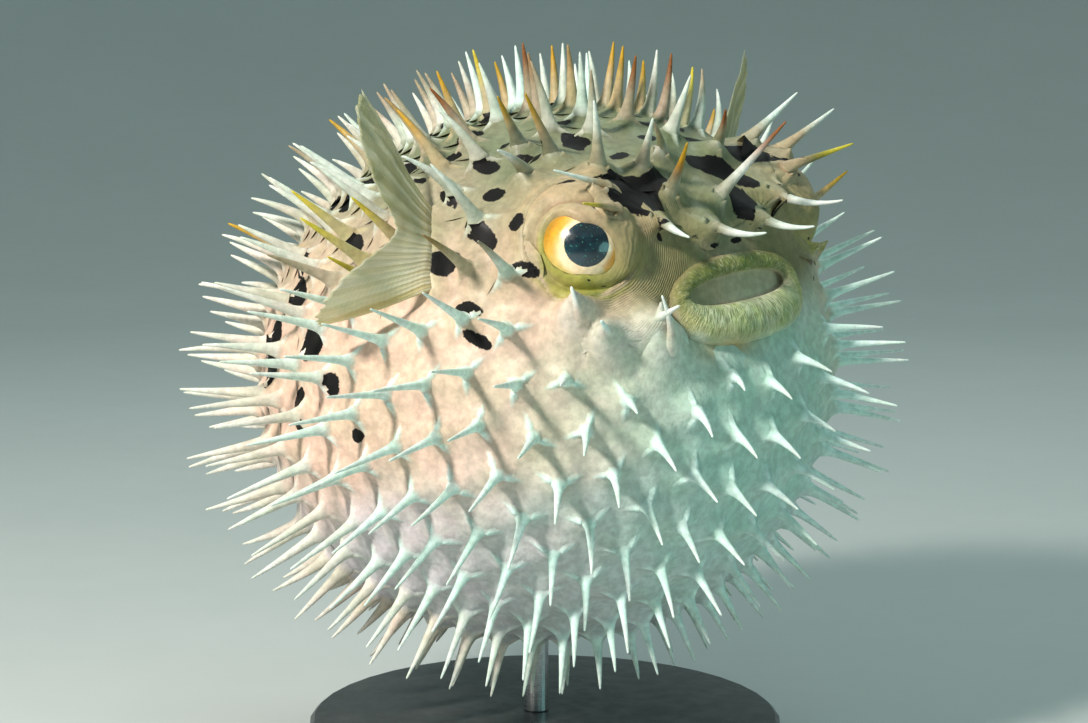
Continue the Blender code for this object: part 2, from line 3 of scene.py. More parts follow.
import bpy
import numpy as np
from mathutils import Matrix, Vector


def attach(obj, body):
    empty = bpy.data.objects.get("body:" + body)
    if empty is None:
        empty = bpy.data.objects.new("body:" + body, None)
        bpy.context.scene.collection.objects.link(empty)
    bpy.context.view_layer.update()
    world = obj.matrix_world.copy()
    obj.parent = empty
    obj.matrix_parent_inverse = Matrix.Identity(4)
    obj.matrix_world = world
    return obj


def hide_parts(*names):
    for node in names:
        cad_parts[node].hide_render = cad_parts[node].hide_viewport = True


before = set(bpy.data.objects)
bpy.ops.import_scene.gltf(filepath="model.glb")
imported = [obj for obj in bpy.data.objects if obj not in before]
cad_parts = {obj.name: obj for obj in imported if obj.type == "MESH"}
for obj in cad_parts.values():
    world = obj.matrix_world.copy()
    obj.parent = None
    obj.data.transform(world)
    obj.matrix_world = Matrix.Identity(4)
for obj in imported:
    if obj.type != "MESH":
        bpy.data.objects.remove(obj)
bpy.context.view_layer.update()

# The fish's own frame: the ball's centre at the origin, +X to the snout, +Y to its left, +Z to its back.
# A place on it is two angles in degrees: from_mouth, and around from the back (positive to its right side).
SEMI_AXES = np.array([0.0905, 0.0865, 0.0815])
BALL_CENTRE = np.array([0.0, 0.0, 0.1195])
NOSE_UP = 5.0
LEFT_SIDE_UP = 5.0
MOUTH_ELEVATION = 17.0
TAIL_ELEVATION = 12.0

# Swellings on the plain ellipsoid: height and width in degrees.
MUZZLE_HOLLOW = (-0.0052, 20.0)
TAIL_SWELL = (0.0085, 15.0)
FOREHEAD_SWELL = (0.0062, 30.5)
FOREHEAD_FROM_MOUTH = 30.0
BROW_SWELL = (0.0124, 11.9)
BROW_PLACE = (39.4, 50.5)

# Spines.
FIRST_RING, RING_STEP, RING_COUNT, SPINE_SPACING = 15.5, 8.4, 17, 0.0144
# Degrees that the rings' spines keep off the cheek's folds, the eyes and the head's own spines, and how far
# from the mouth and from the midline the forehead is bare.
FOLD_PLACE, FOLD_BARE, EYE_BARE, OWN_ROOM, FOREHEAD_BARE = (21.0, 68.0), 9.0, 12.5, 7.5, (40.0, 50.0)
SIDE_LENGTH, BACK_LENGTH, BELLY_LENGTH = 0.0270, 0.0205, 0.0170
ROOT_RADIUS = 0.0029
SHAFT_RADIUS, TIP_RADIUS, SHAFT_START = 0.00135, 0.00026, 0.0026
# For the cheek's spines, the head's others and all the rest: the skin's tent round a spine (m, degrees), the
# shaft's flare at its foot and how fast it dies away, how far up the skin's colour reaches, the share of the
# arms' colour, and how deep the foot lies under the skin.
TENT_HEIGHT, TENT_WIDTH = (0.0125, 0.0058, 0.0034), (8.0, 6.8, 5.6)
FLARE, FLARE_FALL = (0.0012, 0.0009, 0.0006), (0.0060, 0.0036, 0.0013)
SKIN_UP_TO, SPINE_FROM = (0.0050, 0.0055, 0.0012), (0.0150, 0.0150, 0.0040)
ARM_COLOUR, FOOT_DEPTH = (0.2, 0.15, 1.0), (0.0007, 0.00022, 0.00022)
# A tent is a power of what is left of its width, and it leans no further than this tangent.
TENT_POWER, TENT_MOST_LEAN = 1.85, 1.3
# Turns of the points round a spine: close together at its short arm (0) and at its two long ones.
HALF_TURNS = np.array([9.0, 27.0, 55.0, 83.0, 101.0, 110.0, 119.0, 137.0])
SPINE_TURNS = np.concatenate([[0.0], HALF_TURNS, [180.0], 360.0 - HALF_TURNS[::-1]])
ARM_TURNS, ARM_SIZES = (0.0, 110.0, 250.0), (0.5, 1.0, 1.0)
ARM_HEIGHT, ARM_WIDTH = 0.0019, 0.00085
# The arms of a side's spines spread away from this place on its cheek.
ARM_POLE = (45.0, 100.0)
FOOT_REACH = np.array([0.0086, 0.0072, 0.0060, 0.0049, 0.0039, 0.0031, 0.0025])
SHAFT_STEPS = np.array([0.0, 0.03, 0.07, 0.12, 0.19, 0.28, 0.39, 0.52, 0.66, 0.80, 0.91, 0.98])

# Head.
EYE_CENTRE = np.array([0.0628, -0.0416, 0.0431])
EYE_RADIUS = 0.0140
EYE_LOOK = np.array([0.697, -0.714, 0.067])
EYE_GAZE = np.array([0.788, -0.601, 0.136])
PUPIL_EDGE = 26.0
# Half opening of the lids in degrees at turns round the eye from straight ahead, up over the top.
LID_TURNS = (-18.0, 39.0, 85.0, 121.0, 174.0, 218.0, 273.0, 320.0)
LID_MARGIN = (43.0, 33.0, 27.0, 52.0, 45.0, 34.0, 28.0, 46.0)
LIP_OUTER = np.array([0.0275, 0.0130])
LIP_OPENING = np.array([0.0205, 0.0040])
LIP_SQUARENESS = 2.4
LIP_DROP = 0.0029
# The pouch of olive skin round each eye, an ellipse as in the spots.
EYE_POUCH = (37, 63, 12.3, 9.9, -69)
MUZZLE_REACH = 0.0875
# Small flecks on the lids: turn round the eye, share of the way out, and size in mm.
LID_FLECKS = ((-82, 0.12, 0.30), (-72, 0.36, 0.45), (-56, 0.42, 0.5), (62, 0.30, 0.9))

# Tail, fins and stand.
TAIL_BEND, TAIL_LENGTH, TAIL_ROOT_DISTANCE = 28.0, 0.030, 0.0850
TAIL_ROOT_SIZE = np.array([0.0235, 0.0215])
TAIL_END_SIZE = np.array([0.0042, 0.0095])
CAUDAL_LENGTH = 0.027
PECTORAL_TOP, PECTORAL_RUN = (70.0, 48.0), (-6.0, 18.0)
PECTORAL_LENGTH, PECTORAL_BARE = 0.0410, 5.5
PECTORAL_HEADINGS = {
    1.0: ((-0.38, -0.10, 0.92), (0.60, -0.90, 0.05), (-0.72, -0.68, -0.24)),
    -1.0: ((0.28, -0.40, 0.86), (-0.60, -1.00, 0.30), (-0.80, -0.60, 0.00)),
}
FIN_GAP, FIN_CLEARANCE = 0.0003, 0.0042
ROD_PLACE, ROD_REACH = np.array([-0.004, 0.0]), 0.0068
# Each fin's rays, and how much thicker its root is.
FINS = {"pectoral_fin_right": (23, 0.0018), "pectoral_fin_left": (23, 0.0018), "dorsal_fin": (13, 0.0010),
        "anal_fin": (12, 0.0010), "caudal_fin": (9, 0.0008)}

# Studio: the floor's flat reach and its curve (m), then each light's azimuth, elevation, distance, size,
# power and colour, the air, and the camera.
FLOOR_FLAT, FLOOR_CURVE = 1.4, 2.6
LIGHTS = {
    "key_light": (4.0, 35.0, 1.05, 0.13, 14.5, (1.0, 0.94, 0.87)),
    "fill_light": (104.0, -2.0, 1.5, 0.9, 4.5, (0.42, 0.95, 0.92)),
    "top_light": (200.0, 62.0, 1.6, 0.9, 7.0, (0.85, 1.0, 0.98)),
}
AIR_COLOUR, AIR_STRENGTH = (0.66, 0.92, 0.90, 1.0), 0.40
CAMERA_AZIMUTH, CAMERA_ELEVATION, CAMERA_DISTANCE = 45.0, 7.0, 0.70
CAMERA_LENS, CAMERA_SENSOR, CAMERA_SHIFT = 73.75, 36.0, (-0.0009, 0.0124)

# Spots on both sides: from_mouth, around, half length and half width in mm, turn from the tailward line.
FLANK_SPOTS = [
    (88, 32, 7, 2, -42), (76, 31, 4, 3, 80), (64, 33, 5, 3, -24), (78, 22, 5, 4, 80), (68, 43, 6, 2, -42),
    (57, 43, 4, 3, 0), (79, 38, 2, 1, 0), (73, 47, 3, 1, -49), (90, 53, 5, 3, -30), (81, 49, 1, 1, 0),
    (102, 38, 8, 6, 60), (118, 38, 9, 5, -32), (127, 50, 5, 3, 67), (108, 56, 5, 3, 70),
    (106, 63, 6, 4, -50),
    (130, 60, 5, 3, 75), (116, 76, 11, 7, 85), (95, 73, 7, 5, 49), (89, 82, 4, 3, 71), (101, 87, 7, 4, 81),
    (84, 92, 3, 2, 0), (56, 54, 7, 3, -35), (63, 60, 5, 4, 0), (57, 71, 4, 3, 0), (55, 78, 5, 2, -33),
    (49, 52, 3, 2, -82), (46, 64, 4, 2, -10), (63, 25, 3, 2, 11), (54, 30, 6, 2, 10), (49, 19, 4, 3, 34),
    (81, 10, 6, 4, 75), (97, 9, 5, 3, 44), (112, 14, 6, 4, 20), (128, 22, 6, 4, -20), (142, 40, 5, 3, 30),
    (140, 8, 4, 3, 0), (146, 70, 5, 3, 60), (134, 92, 5, 3, 80), (120, 98, 4, 3, 40), (152, 20, 4, 3, 0),
    (43, 41, 3, 1, 40),
]
# Bars, mask and marks of the head, each on one side.
HEAD_SPOTS = [
    (31, 34, 9, 7, 24), (29, 20, 5, 5, -16), (29, -16, 11, 4, 71), (21, -20, 6, 5, -10),
    (37, -32, 10, 5, 87),
    (36, -45, 7, 3, 86), (50, 19, 6, 3, -35), (39, 18, 3, 2, 80), (41, 2, 3, 2, 60), (40, -18, 7, 3, 88),
    (59, 11, 3, 2, 27), (48, -4, 5, 2, 87),
]
# Thin dark dashes round the eyes and snout, mirrored.
DASHES = [
    (40, 46, 1.6, 0.5, 23), (43, 50, 1.4, 0.6, 43), (33, 82, 1.9, 0.7, -28), (29, 83, 1.2, 0.6, -28),
    (17, 73, 1.2, 0.35, 64), (23, 45, 2.4, 0.9, -10), (33, 50, 1.2, 0.4, -7),
]
NOSTRILS = [(11, 18, 2.6, 0.7, 75), (16, 31, 2.8, 0.5, 60)]

# Colours, linear.
BACK = (0.20, 0.21, 0.13)
SHOULDER = (0.52, 0.40, 0.29)
FLANK = (0.73, 0.50, 0.39)
BELLY = (0.63, 0.57, 0.60)
UNDER = (0.56, 0.56, 0.58)
# The chin's pale colour tinted with painted teal water light.
CHIN_WATER_LIT = (0.42, 0.66, 0.58)
FOREHEAD = (0.14, 0.17, 0.09)
FOLD = (0.22, 0.20, 0.09)
LID = (0.46, 0.34, 0.21)
LOWER_LID = (0.34, 0.31, 0.07)
# Painted shade in the lids' creases.
CREASE_SHADE = (0.20, 0.08, 0.04)
LIP = (0.21, 0.25, 0.05)
LIP_LOW = (0.44, 0.49, 0.22)
RING_CREAM = (1.0, 0.78, 0.50)
IRIS_YELLOW = (0.66, 0.50, 0.12)
IRIS_ORANGE = (0.92, 0.38, 0.02)
IRIS_BROWN = (0.38, 0.20, 0.01)
INNER_LIP = (0.74, 0.66, 0.54)
MOUTH_INSIDE = (0.54, 0.48, 0.34)
# Skin drawn up over the spines: paler, with a painted sheen on the tents' tops.
DRAWN_UP_SHEEN = (0.74, 0.70, 0.63)
# Painted shade at the right end of the mouth's hollow.
MOUTH_END_SHADE = (0.36, 0.27, 0.13)
OCHRE = (0.50, 0.30, 0.06)
# Pale spine colour tinted with painted teal water light.
MINT_WATER_LIT = (0.70, 0.88, 0.84)
WHITE = (0.74, 0.79, 0.75)
CREAM = (0.74, 0.60, 0.50)
BEIGE = (0.46, 0.37, 0.26)
AMBER = (0.52, 0.29, 0.02)
RUST = (0.24, 0.085, 0.02)
OLIVE = (0.28, 0.26, 0.05)
YELLOW = (0.62, 0.50, 0.05)
DARK_OLIVE = (0.07, 0.065, 0.02)
BLACK = (0.0035, 0.003, 0.003)
FIN_DARK = (0.34, 0.34, 0.20)
FIN_PALE = (0.66, 0.62, 0.46)
FIN_YELLOW = (0.42, 0.34, 0.10)
FIN_ROOT = (0.46, 0.37, 0.22)
SHOULDER_ROOT = (0.50, 0.42, 0.27)
LIP_PATCH, LIP_LOW_PATCH = (0.30, 0.27, 0.14), (0.66, 0.66, 0.50)
LIP_RIM, LIP_LOW_RIM = (0.24, 0.23, 0.07), (0.52, 0.46, 0.12)
LID_EDGE = (0.05, 0.035, 0.01)
GRAIN_DARK, GRAIN_PALE, WRINKLE = (0.12, 0.15, 0.04), (0.74, 0.76, 0.58), (0.07, 0.065, 0.025)
PUPIL_DEEP, PUPIL_BLUE, GLINT = (0.004, 0.012, 0.020), (0.008, 0.040, 0.058), (0.03, 0.17, 0.12)
RAY_PALE, RAY_JOINT, FIN_BLOTCH = (0.80, 0.78, 0.64), (0.16, 0.13, 0.04), (0.30, 0.33, 0.24)
PAINT, DUST = (0.045, 0.050, 0.052), (0.12, 0.12, 0.12)
STEEL_DARK, STEEL_PALE = (0.48, 0.48, 0.49), (0.68, 0.68, 0.69)
FLOOR_DARK, FLOOR_PALE = (0.47, 0.50, 0.49), (0.52, 0.55, 0.54)
BURNT_TIP = (0.30, 0.20, 0.10)

# The random lattice's own numbers: any that don't fall into step will do.
LATTICE_TURN, LATTICE_WAYS, LATTICE_SCALE = 7.3, (12.9898, 78.233, 37.719), 43758.5453
# The skin's folds are measured on a ball of this radius.
FOLD_BALL = 0.09
# The skin's columns, then in degrees from the mouth where the muzzle ends, where the rings get further
# apart, and where the tail's stalk takes over.
SKIN_COLUMNS, MUZZLE_RING, HEAD_END, JOIN_START, JOIN_END = 320, 24.0, 60.0, 150.0, 166.0
# The skin sinks under the lids in two steps: depth, and degrees from the eye where it starts and ends.
EYE_STEPS = ((0.0030, 10.2, 9.2), (0.0220, 8.8, 6.6))
UPRIGHT = np.array([0.0, 0.0, 1.0])

# Single spines of the head: from_mouth, around, length in mm, lean, the way it leans, how far it bends over
# (-1 curves back up), stoutness, and the colours of its shaft and tip.
HEAD_SPINES = [
    (26, 37, 20, 62, 145, -0.5, 1.3, WHITE, WHITE), (17, 16, 24, 50, 180, -1, 1.2, WHITE, WHITE),
    (19, -28, 24, 52, -153, -1, 1.2, WHITE, WHITE), (27, -36, 28, 53, -143, -1, 1.2, WHITE, WHITE),
    (20, -4, 32, 15, -78, 0, 1.2, WHITE, RUST), (33, -42, 26, 40, -77, 0, 1.1, DARK_OLIVE, YELLOW),
    (25, 21, 22, 8, 58, 1, 1.2, RUST, AMBER), (39, 31, 24, 12, -7, 1, 1.4, BEIGE, WHITE),
    (33, 20, 20, 5, 62, 1, 1.2, BEIGE, WHITE), (33, 7, 16, 32, 66, 1, 0.9, OLIVE, BEIGE),
    (35, -20, 20, 34, 113, 1, 1.2, BEIGE, RUST), (34, 38, 21, 64, 40, 0, 0.7, MINT_WATER_LIT, WHITE),
    (31, 45, 18, 56, 52, 0, 0.7, DARK_OLIVE, YELLOW), (36, 82, 17, 40, -74, 1, 1.0, CREAM, WHITE),
    (31, 90, 16, 31, -53, 1, 1.0, CREAM, MINT_WATER_LIT), (22, 104, 23, 52, -85, 1, 0.8, CREAM, WHITE),
    (25, 88, 18, 21, -160, 1, 1.0, WHITE, WHITE), (51, 38, 20, 30, 68, 1, 1.3, BEIGE, WHITE),
    (49, 29, 26, 19, 43, 0, 1.3, BEIGE, AMBER), (59, 26, 22, 17, 78, 0, 1.3, BEIGE, AMBER),
    (44, -36, 24, 20, -70, 0, 1.2, MINT_WATER_LIT, WHITE), (42, -44, 24, 23, -62, 0, 1.1, BEIGE, WHITE),
]
# Those of them that stand on the cheek.
CHEEK_PLACES = [(36, 82), (31, 90), (25, 88), (22, 104)]


def unit(vectors):
    """Each vector over its length."""
    return vectors / np.linalg.norm(vectors, axis=-1, keepdims=True)


def bump(value, centre, width):
    """A smooth hump of height 1 about centre, down to a third at one width away."""
    return np.exp(-(((value - centre) / width) ** 2))


def ease(value, start, end):
    """0 before start, 1 after end, and a smooth S between."""
    part = np.clip((value - start) / (end - start), 0.0, 1.0)
    return part * part * (3.0 - 2.0 * part)


def mix(first, second, weight):
    """The first colours moved towards the second by weight."""
    weight = np.asarray(weight)[..., None]
    return np.asarray(first) * (1.0 - weight) + np.asarray(second) * weight


def ring_axis(from_mouth):
    """The ring's axis, which swings from the mouth's line to the tail's with from_mouth, and its upright."""
    swing = (MOUTH_ELEVATION + TAIL_ELEVATION) * np.asarray(from_mouth) / 180.0
    rise = np.radians(MOUTH_ELEVATION - swing)
    flat = np.zeros_like(rise)
    return (np.stack([np.cos(rise), flat, np.sin(rise)], -1),
            np.stack([-np.sin(rise), flat, np.cos(rise)], -1))


def direction(from_mouth, around):
    """The unit direction: the ring's axis leant over by from_mouth, towards around on the ring."""
    axis, up = ring_axis(from_mouth)
    away = np.radians(np.asarray(from_mouth, float))[..., None]
    turn = np.radians(np.asarray(around, float))[..., None]
    right = np.array([0.0, -1.0, 0.0])
    return axis * np.cos(away) + np.sin(away) * (up * np.cos(turn) + right * np.sin(turn))


def flipped(side):
    """Factors that carry a place on the right side (1) to the same or to the left side (-1)."""
    return np.array([1.0, side, 1.0])


def cone_way(frame_of, tilt, turn):
    """Directions leant by tilt from a frame's first axis, turned from its second towards its third."""
    look, fore, rise = frame_of
    return look * np.cos(tilt)[..., None] + (fore * np.cos(turn)[:, None] + rise * np.sin(turn)[:, None]) \
        * np.sin(tilt)[..., None]


def angle_between(directions, other):
    """Degrees between each direction and the other one, from their cosine."""
    cosine = unit(directions) @ unit(np.asarray(other, float))
    return np.degrees(np.arccos(np.clip(cosine, -1.0, 1.0)))


MOUTH_LINE = direction(0.0, 0.0)
TAIL_LINE = direction(180.0, 0.0)


def swelling(directions, middle, size):
    """A smooth round rise of size (height, width) about the middle direction."""
    return size[0] * bump(angle_between(directions, middle), 0.0, size[1])


def skin_point(directions, lift=0.0):
    """An ellipsoid's radius along each direction, with the swellings of muzzle, tail, forehead and brows."""
    radius = 1.0 / np.linalg.norm(directions / SEMI_AXES, axis=-1)
    radius = radius + swelling(directions, MOUTH_LINE, MUZZLE_HOLLOW)
    radius = radius + swelling(directions, TAIL_LINE, TAIL_SWELL)
    radius = radius + swelling(directions, direction(FOREHEAD_FROM_MOUTH, 0.0), FOREHEAD_SWELL)
    for side in (1.0, -1.0):
        radius = radius + swelling(directions, direction(BROW_PLACE[0], side * BROW_PLACE[1]), BROW_SWELL)
    return directions * (radius + lift)[..., None]


def skin_normal(directions):
    """The plain ellipsoid's outward normal: the direction over the squares of the half axes, made a unit."""
    return unit(directions / SEMI_AXES**2)


def to_stand(points):
    """Points from the fish's frame to the stand's: rolled, pitched nose up, lifted to the ball's centre."""
    pitch, roll = math.radians(NOSE_UP), math.radians(LEFT_SIDE_UP)
    tilt = np.array([[math.cos(pitch), 0.0, -math.sin(pitch)], [0.0, 1.0, 0.0],
                     [math.sin(pitch), 0.0, math.cos(pitch)]])
    lean = np.array([[1.0, 0.0, 0.0], [0.0, math.cos(roll), -math.sin(roll)],
                     [0.0, math.sin(roll), math.cos(roll)]])
    return points @ (tilt @ lean).T + BALL_CENTRE


def noise(points, size, seed=0.0):
    """Smooth random values in -1 to 1: random numbers on a lattice of that size, eased between corners."""
    cell = points / size + LATTICE_TURN * seed
    low = np.floor(cell)
    part = cell - low
    part = part * part * (3.0 - 2.0 * part)
    total = np.zeros(points.shape[:-1])
    for corner in np.ndindex(2, 2, 2):
        weight = np.prod(np.where(corner, part, 1.0 - part), axis=-1)
        value = np.sin((low + corner) @ np.array(LATTICE_WAYS) + seed) * LATTICE_SCALE
        total += weight * (value - np.floor(value))
    return total * 2.0 - 1.0


# ---------------------------------------------------------------- fins' surfaces and spines' places

def tail_frame(way_along):
    """Centre, heading and sideways direction of the tail, on a circular bend to the fish's left."""
    way_along = np.asarray(way_along, float)
    bend = math.radians(TAIL_BEND)
    turned = bend * way_along
    rise = 0.5 * turned * math.sin(math.radians(TAIL_ELEVATION))
    run = np.stack([-np.sin(turned), 1.0 - np.cos(turned), rise], -1)
    centre = TAIL_LINE * TAIL_ROOT_DISTANCE + run * TAIL_LENGTH / bend
    heading = math.pi - turned
    flat = np.zeros_like(heading)
    along = np.stack([np.cos(heading), np.sin(heading), flat], -1)
    across = np.stack([-np.sin(heading), np.cos(heading), flat], -1)
    return centre, along, across


def tail_size(way_along):
    """The stalk's half width and half height, from root to end by a power of the way along."""
    return TAIL_ROOT_SIZE + (TAIL_END_SIZE - TAIL_ROOT_SIZE) * np.asarray(way_along)[..., None] ** 0.55


def pectoral_root(run, side=1.0):
    """Directions along the line where a pectoral fin grows out, 0 at its top and 1 at its foot."""
    from_mouth = PECTORAL_TOP[0] + PECTORAL_RUN[0] * run
    return direction(from_mouth, side * (PECTORAL_TOP[1] + PECTORAL_RUN[1] * run))


def pectoral_surface(side, rays, steps):
    """The pectoral fan: rays from a line on the shoulder that swing up, out and back, shorter at a notch."""
    base = skin_point(pectoral_root(rays), 0.0028)
    first, middle, last = (unit(np.array(way)) for way in PECTORAL_HEADINGS[side])
    weight = rays[:, None]
    heading = unit(first * (1.0 - weight) ** 2 + middle * 2.6 * weight * (1.0 - weight) + last * weight**2)
    reach = PECTORAL_LENGTH * (1.0 - 0.20 * rays - 0.58 * bump(rays, 0.42, 0.24))
    curl = np.array([-0.20, 0.05, 0.0])
    spread = steps[None, :, None]
    surface = base[:, None, :] + heading[:, None, :] * reach[:, None, None] * spread
    surface = surface + curl * reach[:, None, None] * spread**2 * 0.45
    return surface * flipped(side)


def vertical_fin_surface(upward, rays, steps):
    """The dorsal (upward 1) or anal (-1) fin: rays from the tail's midline, steep in front, flat behind."""
    way_along = 0.16 + 0.50 * rays
    centres, alongs, _ = tail_frame(way_along)
    up = UPRIGHT * upward
    base = centres + up * (tail_size(way_along)[:, 1] + FIN_GAP * 3.0)[:, None]
    slope = np.radians(62.0 - 48.0 * rays)
    heading = alongs * np.cos(slope)[:, None] + up * np.sin(slope)[:, None]
    reach = 0.0250 * np.sin(np.pi * (0.16 + 0.62 * rays)) ** 0.5
    return base[:, None, :] + heading[:, None, :] * reach[:, None, None] * steps[None, :, None]


def caudal_surface(rays, steps):
    """The rounded tail fin: a fan of rays from the tail's end."""
    centre, along, _ = tail_frame(1.0)
    rays = rays * 2.0 - 1.0
    base = centre + along * FIN_GAP * 2.0 + UPRIGHT * (rays * TAIL_END_SIZE[1] * 0.94)[:, None]
    spread = np.radians(27.0 * rays)
    heading = along * np.cos(spread)[:, None] + UPRIGHT * np.sin(spread)[:, None]
    reach = CAUDAL_LENGTH * (1.0 - 0.16 * rays**2)
    return base[:, None, :] + heading[:, None, :] * reach[:, None, None] * steps[None, :, None]


def fin_surface(name, rays, steps):
    """The middle surface of a named fin at these shares (0 to 1) across its rays and along them."""
    if name.startswith("pectoral"):
        return pectoral_surface(1.0 if name.endswith("right") else -1.0, rays, steps)
    if name == "caudal_fin":
        return caudal_surface(rays, steps)
    return vertical_fin_surface(1.0 if name == "dorsal_fin" else -1.0, rays, steps)


def spine_length(from_mouth, around):
    """Long on the flanks, shorter over the back, shortest under the belly and near the mouth and tail."""
    height = np.cos(np.radians(around))
    length = SIDE_LENGTH - (SIDE_LENGTH - BACK_LENGTH) * np.maximum(height, 0.0) ** 2
    length = length - (SIDE_LENGTH - BELLY_LENGTH) * np.maximum(-height, 0.0) ** 2
    length = length * (1.0 - 0.38 * bump(from_mouth, 12.0, 20.0) * (height < 0.2))
    return length * (1.0 - 0.25 * bump(from_mouth, 160.0, 18.0))


def spine_lean(from_mouth, around):
    """Degrees that a spine leans back from upright: more on the shoulder, near the tail and on the chin."""
    side = np.abs(around)
    lean = 6.0 + 30.0 * bump(side, 38.0, 20.0) * bump(from_mouth, 62.0, 30.0)
    lean = lean + 16.0 * bump(from_mouth, 135.0, 28.0)
    return lean + 22.0 * bump(from_mouth, 18.0, 10.0) * (side > 90.0)


def spine_frame(from_mouth, around):
    """Foot, outward normal, tangent away from the mouth and the tangent across it."""
    way = direction(from_mouth, around)
    normal = skin_normal(way)
    axis, _ = ring_axis(from_mouth)
    back = unit(-axis + normal * (axis * normal).sum(-1, keepdims=True))
    return skin_point(way), normal, back, np.cross(normal, back)


def spine_ways(table, less, more):
    """Unit directions of each spine near its foot and at its tip, and the way it leans.

    Its lean is less near the foot and more at the tip by these shares times its bend.
    """
    _, normal, back, across = spine_frame(table[:, 0], table[:, 1])
    lean, heading, bend = np.radians(table[:, 3:4]), np.radians(table[:, 4:5]), table[:, 5:6]
    side = back * np.cos(heading) + across * np.sin(heading)
    low_lean, high_lean = lean * (1.0 - less * bend), lean * (1.0 + more * bend)
    low = normal * np.cos(low_lean) + side * np.sin(low_lean)
    high = normal * np.cos(high_lean) + side * np.sin(high_lean)
    return low, high, side


def spine_samples(table):
    """Points along each spine, in two straight lengths, to test what it would touch."""
    foot = spine_frame(table[:, 0], table[:, 1])[0]
    low, high, _ = spine_ways(table, 0.4, 0.2)
    middle = foot + low * table[:, 2:3] * 0.42
    tip = middle + high * table[:, 2:3] * 0.58
    run = np.linspace(0.0, 1.0, 9)[:, None]
    return np.concatenate([foot[:, None] + (middle - foot)[:, None] * run,
                           middle[:, None] + (tip - middle)[:, None] * run], axis=1)


def is_bare(places, ways):
    """True at the lips, eyes, fin roots and folds, on the forehead, and near a spine of HEAD_SPINES."""
    off_mouth = np.stack([ways[:, 1], ways @ ring_axis(0.0)[1]], -1) * SEMI_AXES[0]
    bare = np.linalg.norm(off_mouth / (LIP_OUTER + 2.0 * ROOT_RADIUS), axis=-1) < 1.0
    bare |= (places[:, 0] < FOREHEAD_BARE[0]) & (np.abs(places[:, 1]) < FOREHEAD_BARE[1])
    run = np.linspace(0.0, 1.0, 5)
    for side in (1.0, -1.0):
        bare |= angle_between(ways, EYE_CENTRE * flipped(side)) < EYE_BARE
        bare |= angle_between(ways, direction(FOLD_PLACE[0], side * FOLD_PLACE[1])) < FOLD_BARE
        for point in pectoral_root(run, side):
            bare |= angle_between(ways, point) < PECTORAL_BARE
    for row in HEAD_SPINES:
        bare |= angle_between(ways, direction(float(row[0]), float(row[1]))) < OWN_ROOM
    return bare


def spine_table():
    """A row for every spine, as in HEAD_SPINES but in metres: alternating rings, then the head's own.

    A spine that would touch a fin or the rod is left out.
    """
    rings = []
    for ring in range(RING_COUNT):
        from_mouth = FIRST_RING + ring * RING_STEP
        length = 2.0 * math.pi * float(SEMI_AXES.mean()) * math.sin(math.radians(from_mouth))
        count = round(length / SPINE_SPACING)
        around = (np.arange(count) + 0.5 * (ring % 2)) * 360.0 / count
        rings.append(np.stack([np.full(count, from_mouth), (around + 180.0) % 360.0 - 180.0], -1))
    places = np.concatenate(rings)
    places = places[~is_bare(places, direction(places[:, 0], places[:, 1]))]
    from_mouth, around = places[:, 0], places[:, 1]
    height = direction(from_mouth, around)[:, 2]
    stout = 1.0 + 0.42 * np.maximum(ease(from_mouth, 70.0, 120.0), ease(height, 0.15, 0.6))
    ringed = np.stack([from_mouth, around, spine_length(from_mouth, around), spine_lean(from_mouth, around),
                       np.zeros(len(places)), np.ones(len(places)), stout], -1)
    own = np.array([row[:7] for row in HEAD_SPINES], float)
    own[:, 2] *= 0.001
    table = np.concatenate([ringed, own])
    samples = spine_samples(table)
    steps = np.linspace(0.0, 1.0, 5)
    fins = [fin_surface(name, np.linspace(0.0, 1.0, 13 if name.startswith("pectoral") else 11), steps)
            for name in FINS]
    fins = np.concatenate([fin.reshape(-1, 3) for fin in fins])
    near = np.linalg.norm(samples[:, :, None] - fins, axis=-1).min(axis=(1, 2)) < FIN_CLEARANCE
    standing = to_stand(samples) - BALL_CENTRE
    off_rod = np.linalg.norm(standing[..., :2] - ROD_PLACE, axis=-1)
    on_rod = ((off_rod < ROD_REACH) & (standing[..., 2] < 0.0)).any(axis=1)
    return table[~near & ~on_rod]


TABLE = spine_table()
SPINE_WAYS = direction(TABLE[:, 0], TABLE[:, 1])
ON_CHEEK = np.array([(row[0], row[1]) in CHEEK_PLACES for row in TABLE])
FROM_HEAD = np.arange(len(TABLE)) >= len(TABLE) - len(HEAD_SPINES)


def by_kind(values):
    """One of three values for each spine: the cheek's, the head's others', all the rest's."""
    return np.select([ON_CHEEK, FROM_HEAD], values[:2], values[2])


TENT_HEIGHTS, TENT_WIDTHS = by_kind(TENT_HEIGHT), by_kind(TENT_WIDTH)
TENT_LEANS = spine_ways(TABLE, 0.0, 0.0)[2] * np.minimum(np.tan(np.radians(TABLE[:, 3:4])), TENT_MOST_LEAN)


# ---------------------------------------------------------------- markings

def mirrored(ways):
    """The same directions with the fish's left side folded onto its right."""
    return np.stack([ways[..., 0], -np.abs(ways[..., 1]), ways[..., 2]], -1)


def spot_distance(ways, spots):
    """Millimetres from each direction to the nearest spot's edge, below 0 inside, on the tangent plane.

    Each spot is an ellipse: with r the offset over the half sizes, the distance is about |r| (|r| - 1) over
    the length of r over the half sizes again.
    """
    nearest = np.full(ways.shape[:-1], 50.0)
    for from_mouth, around, length, width, turn in spots:
        middle = direction(float(from_mouth), float(around))
        foot, _, back, across = spine_frame(float(from_mouth), float(around))
        offset = (ways / np.maximum(ways @ middle, 0.05)[..., None] - middle) * np.linalg.norm(foot) * 1000.0
        angle = math.radians(turn)
        along = offset @ (back * math.cos(angle) + across * math.sin(angle)) / length
        aside = offset @ (-back * math.sin(angle) + across * math.cos(angle)) / width
        reach = np.hypot(along, aside)
        slope = np.hypot(along / length, aside / width)
        distance = reach * (reach - 1.0) / np.maximum(slope, 1e-6)
        nearest = np.minimum(nearest, np.where(ways @ middle > 0.5, distance, 50.0))
    return nearest


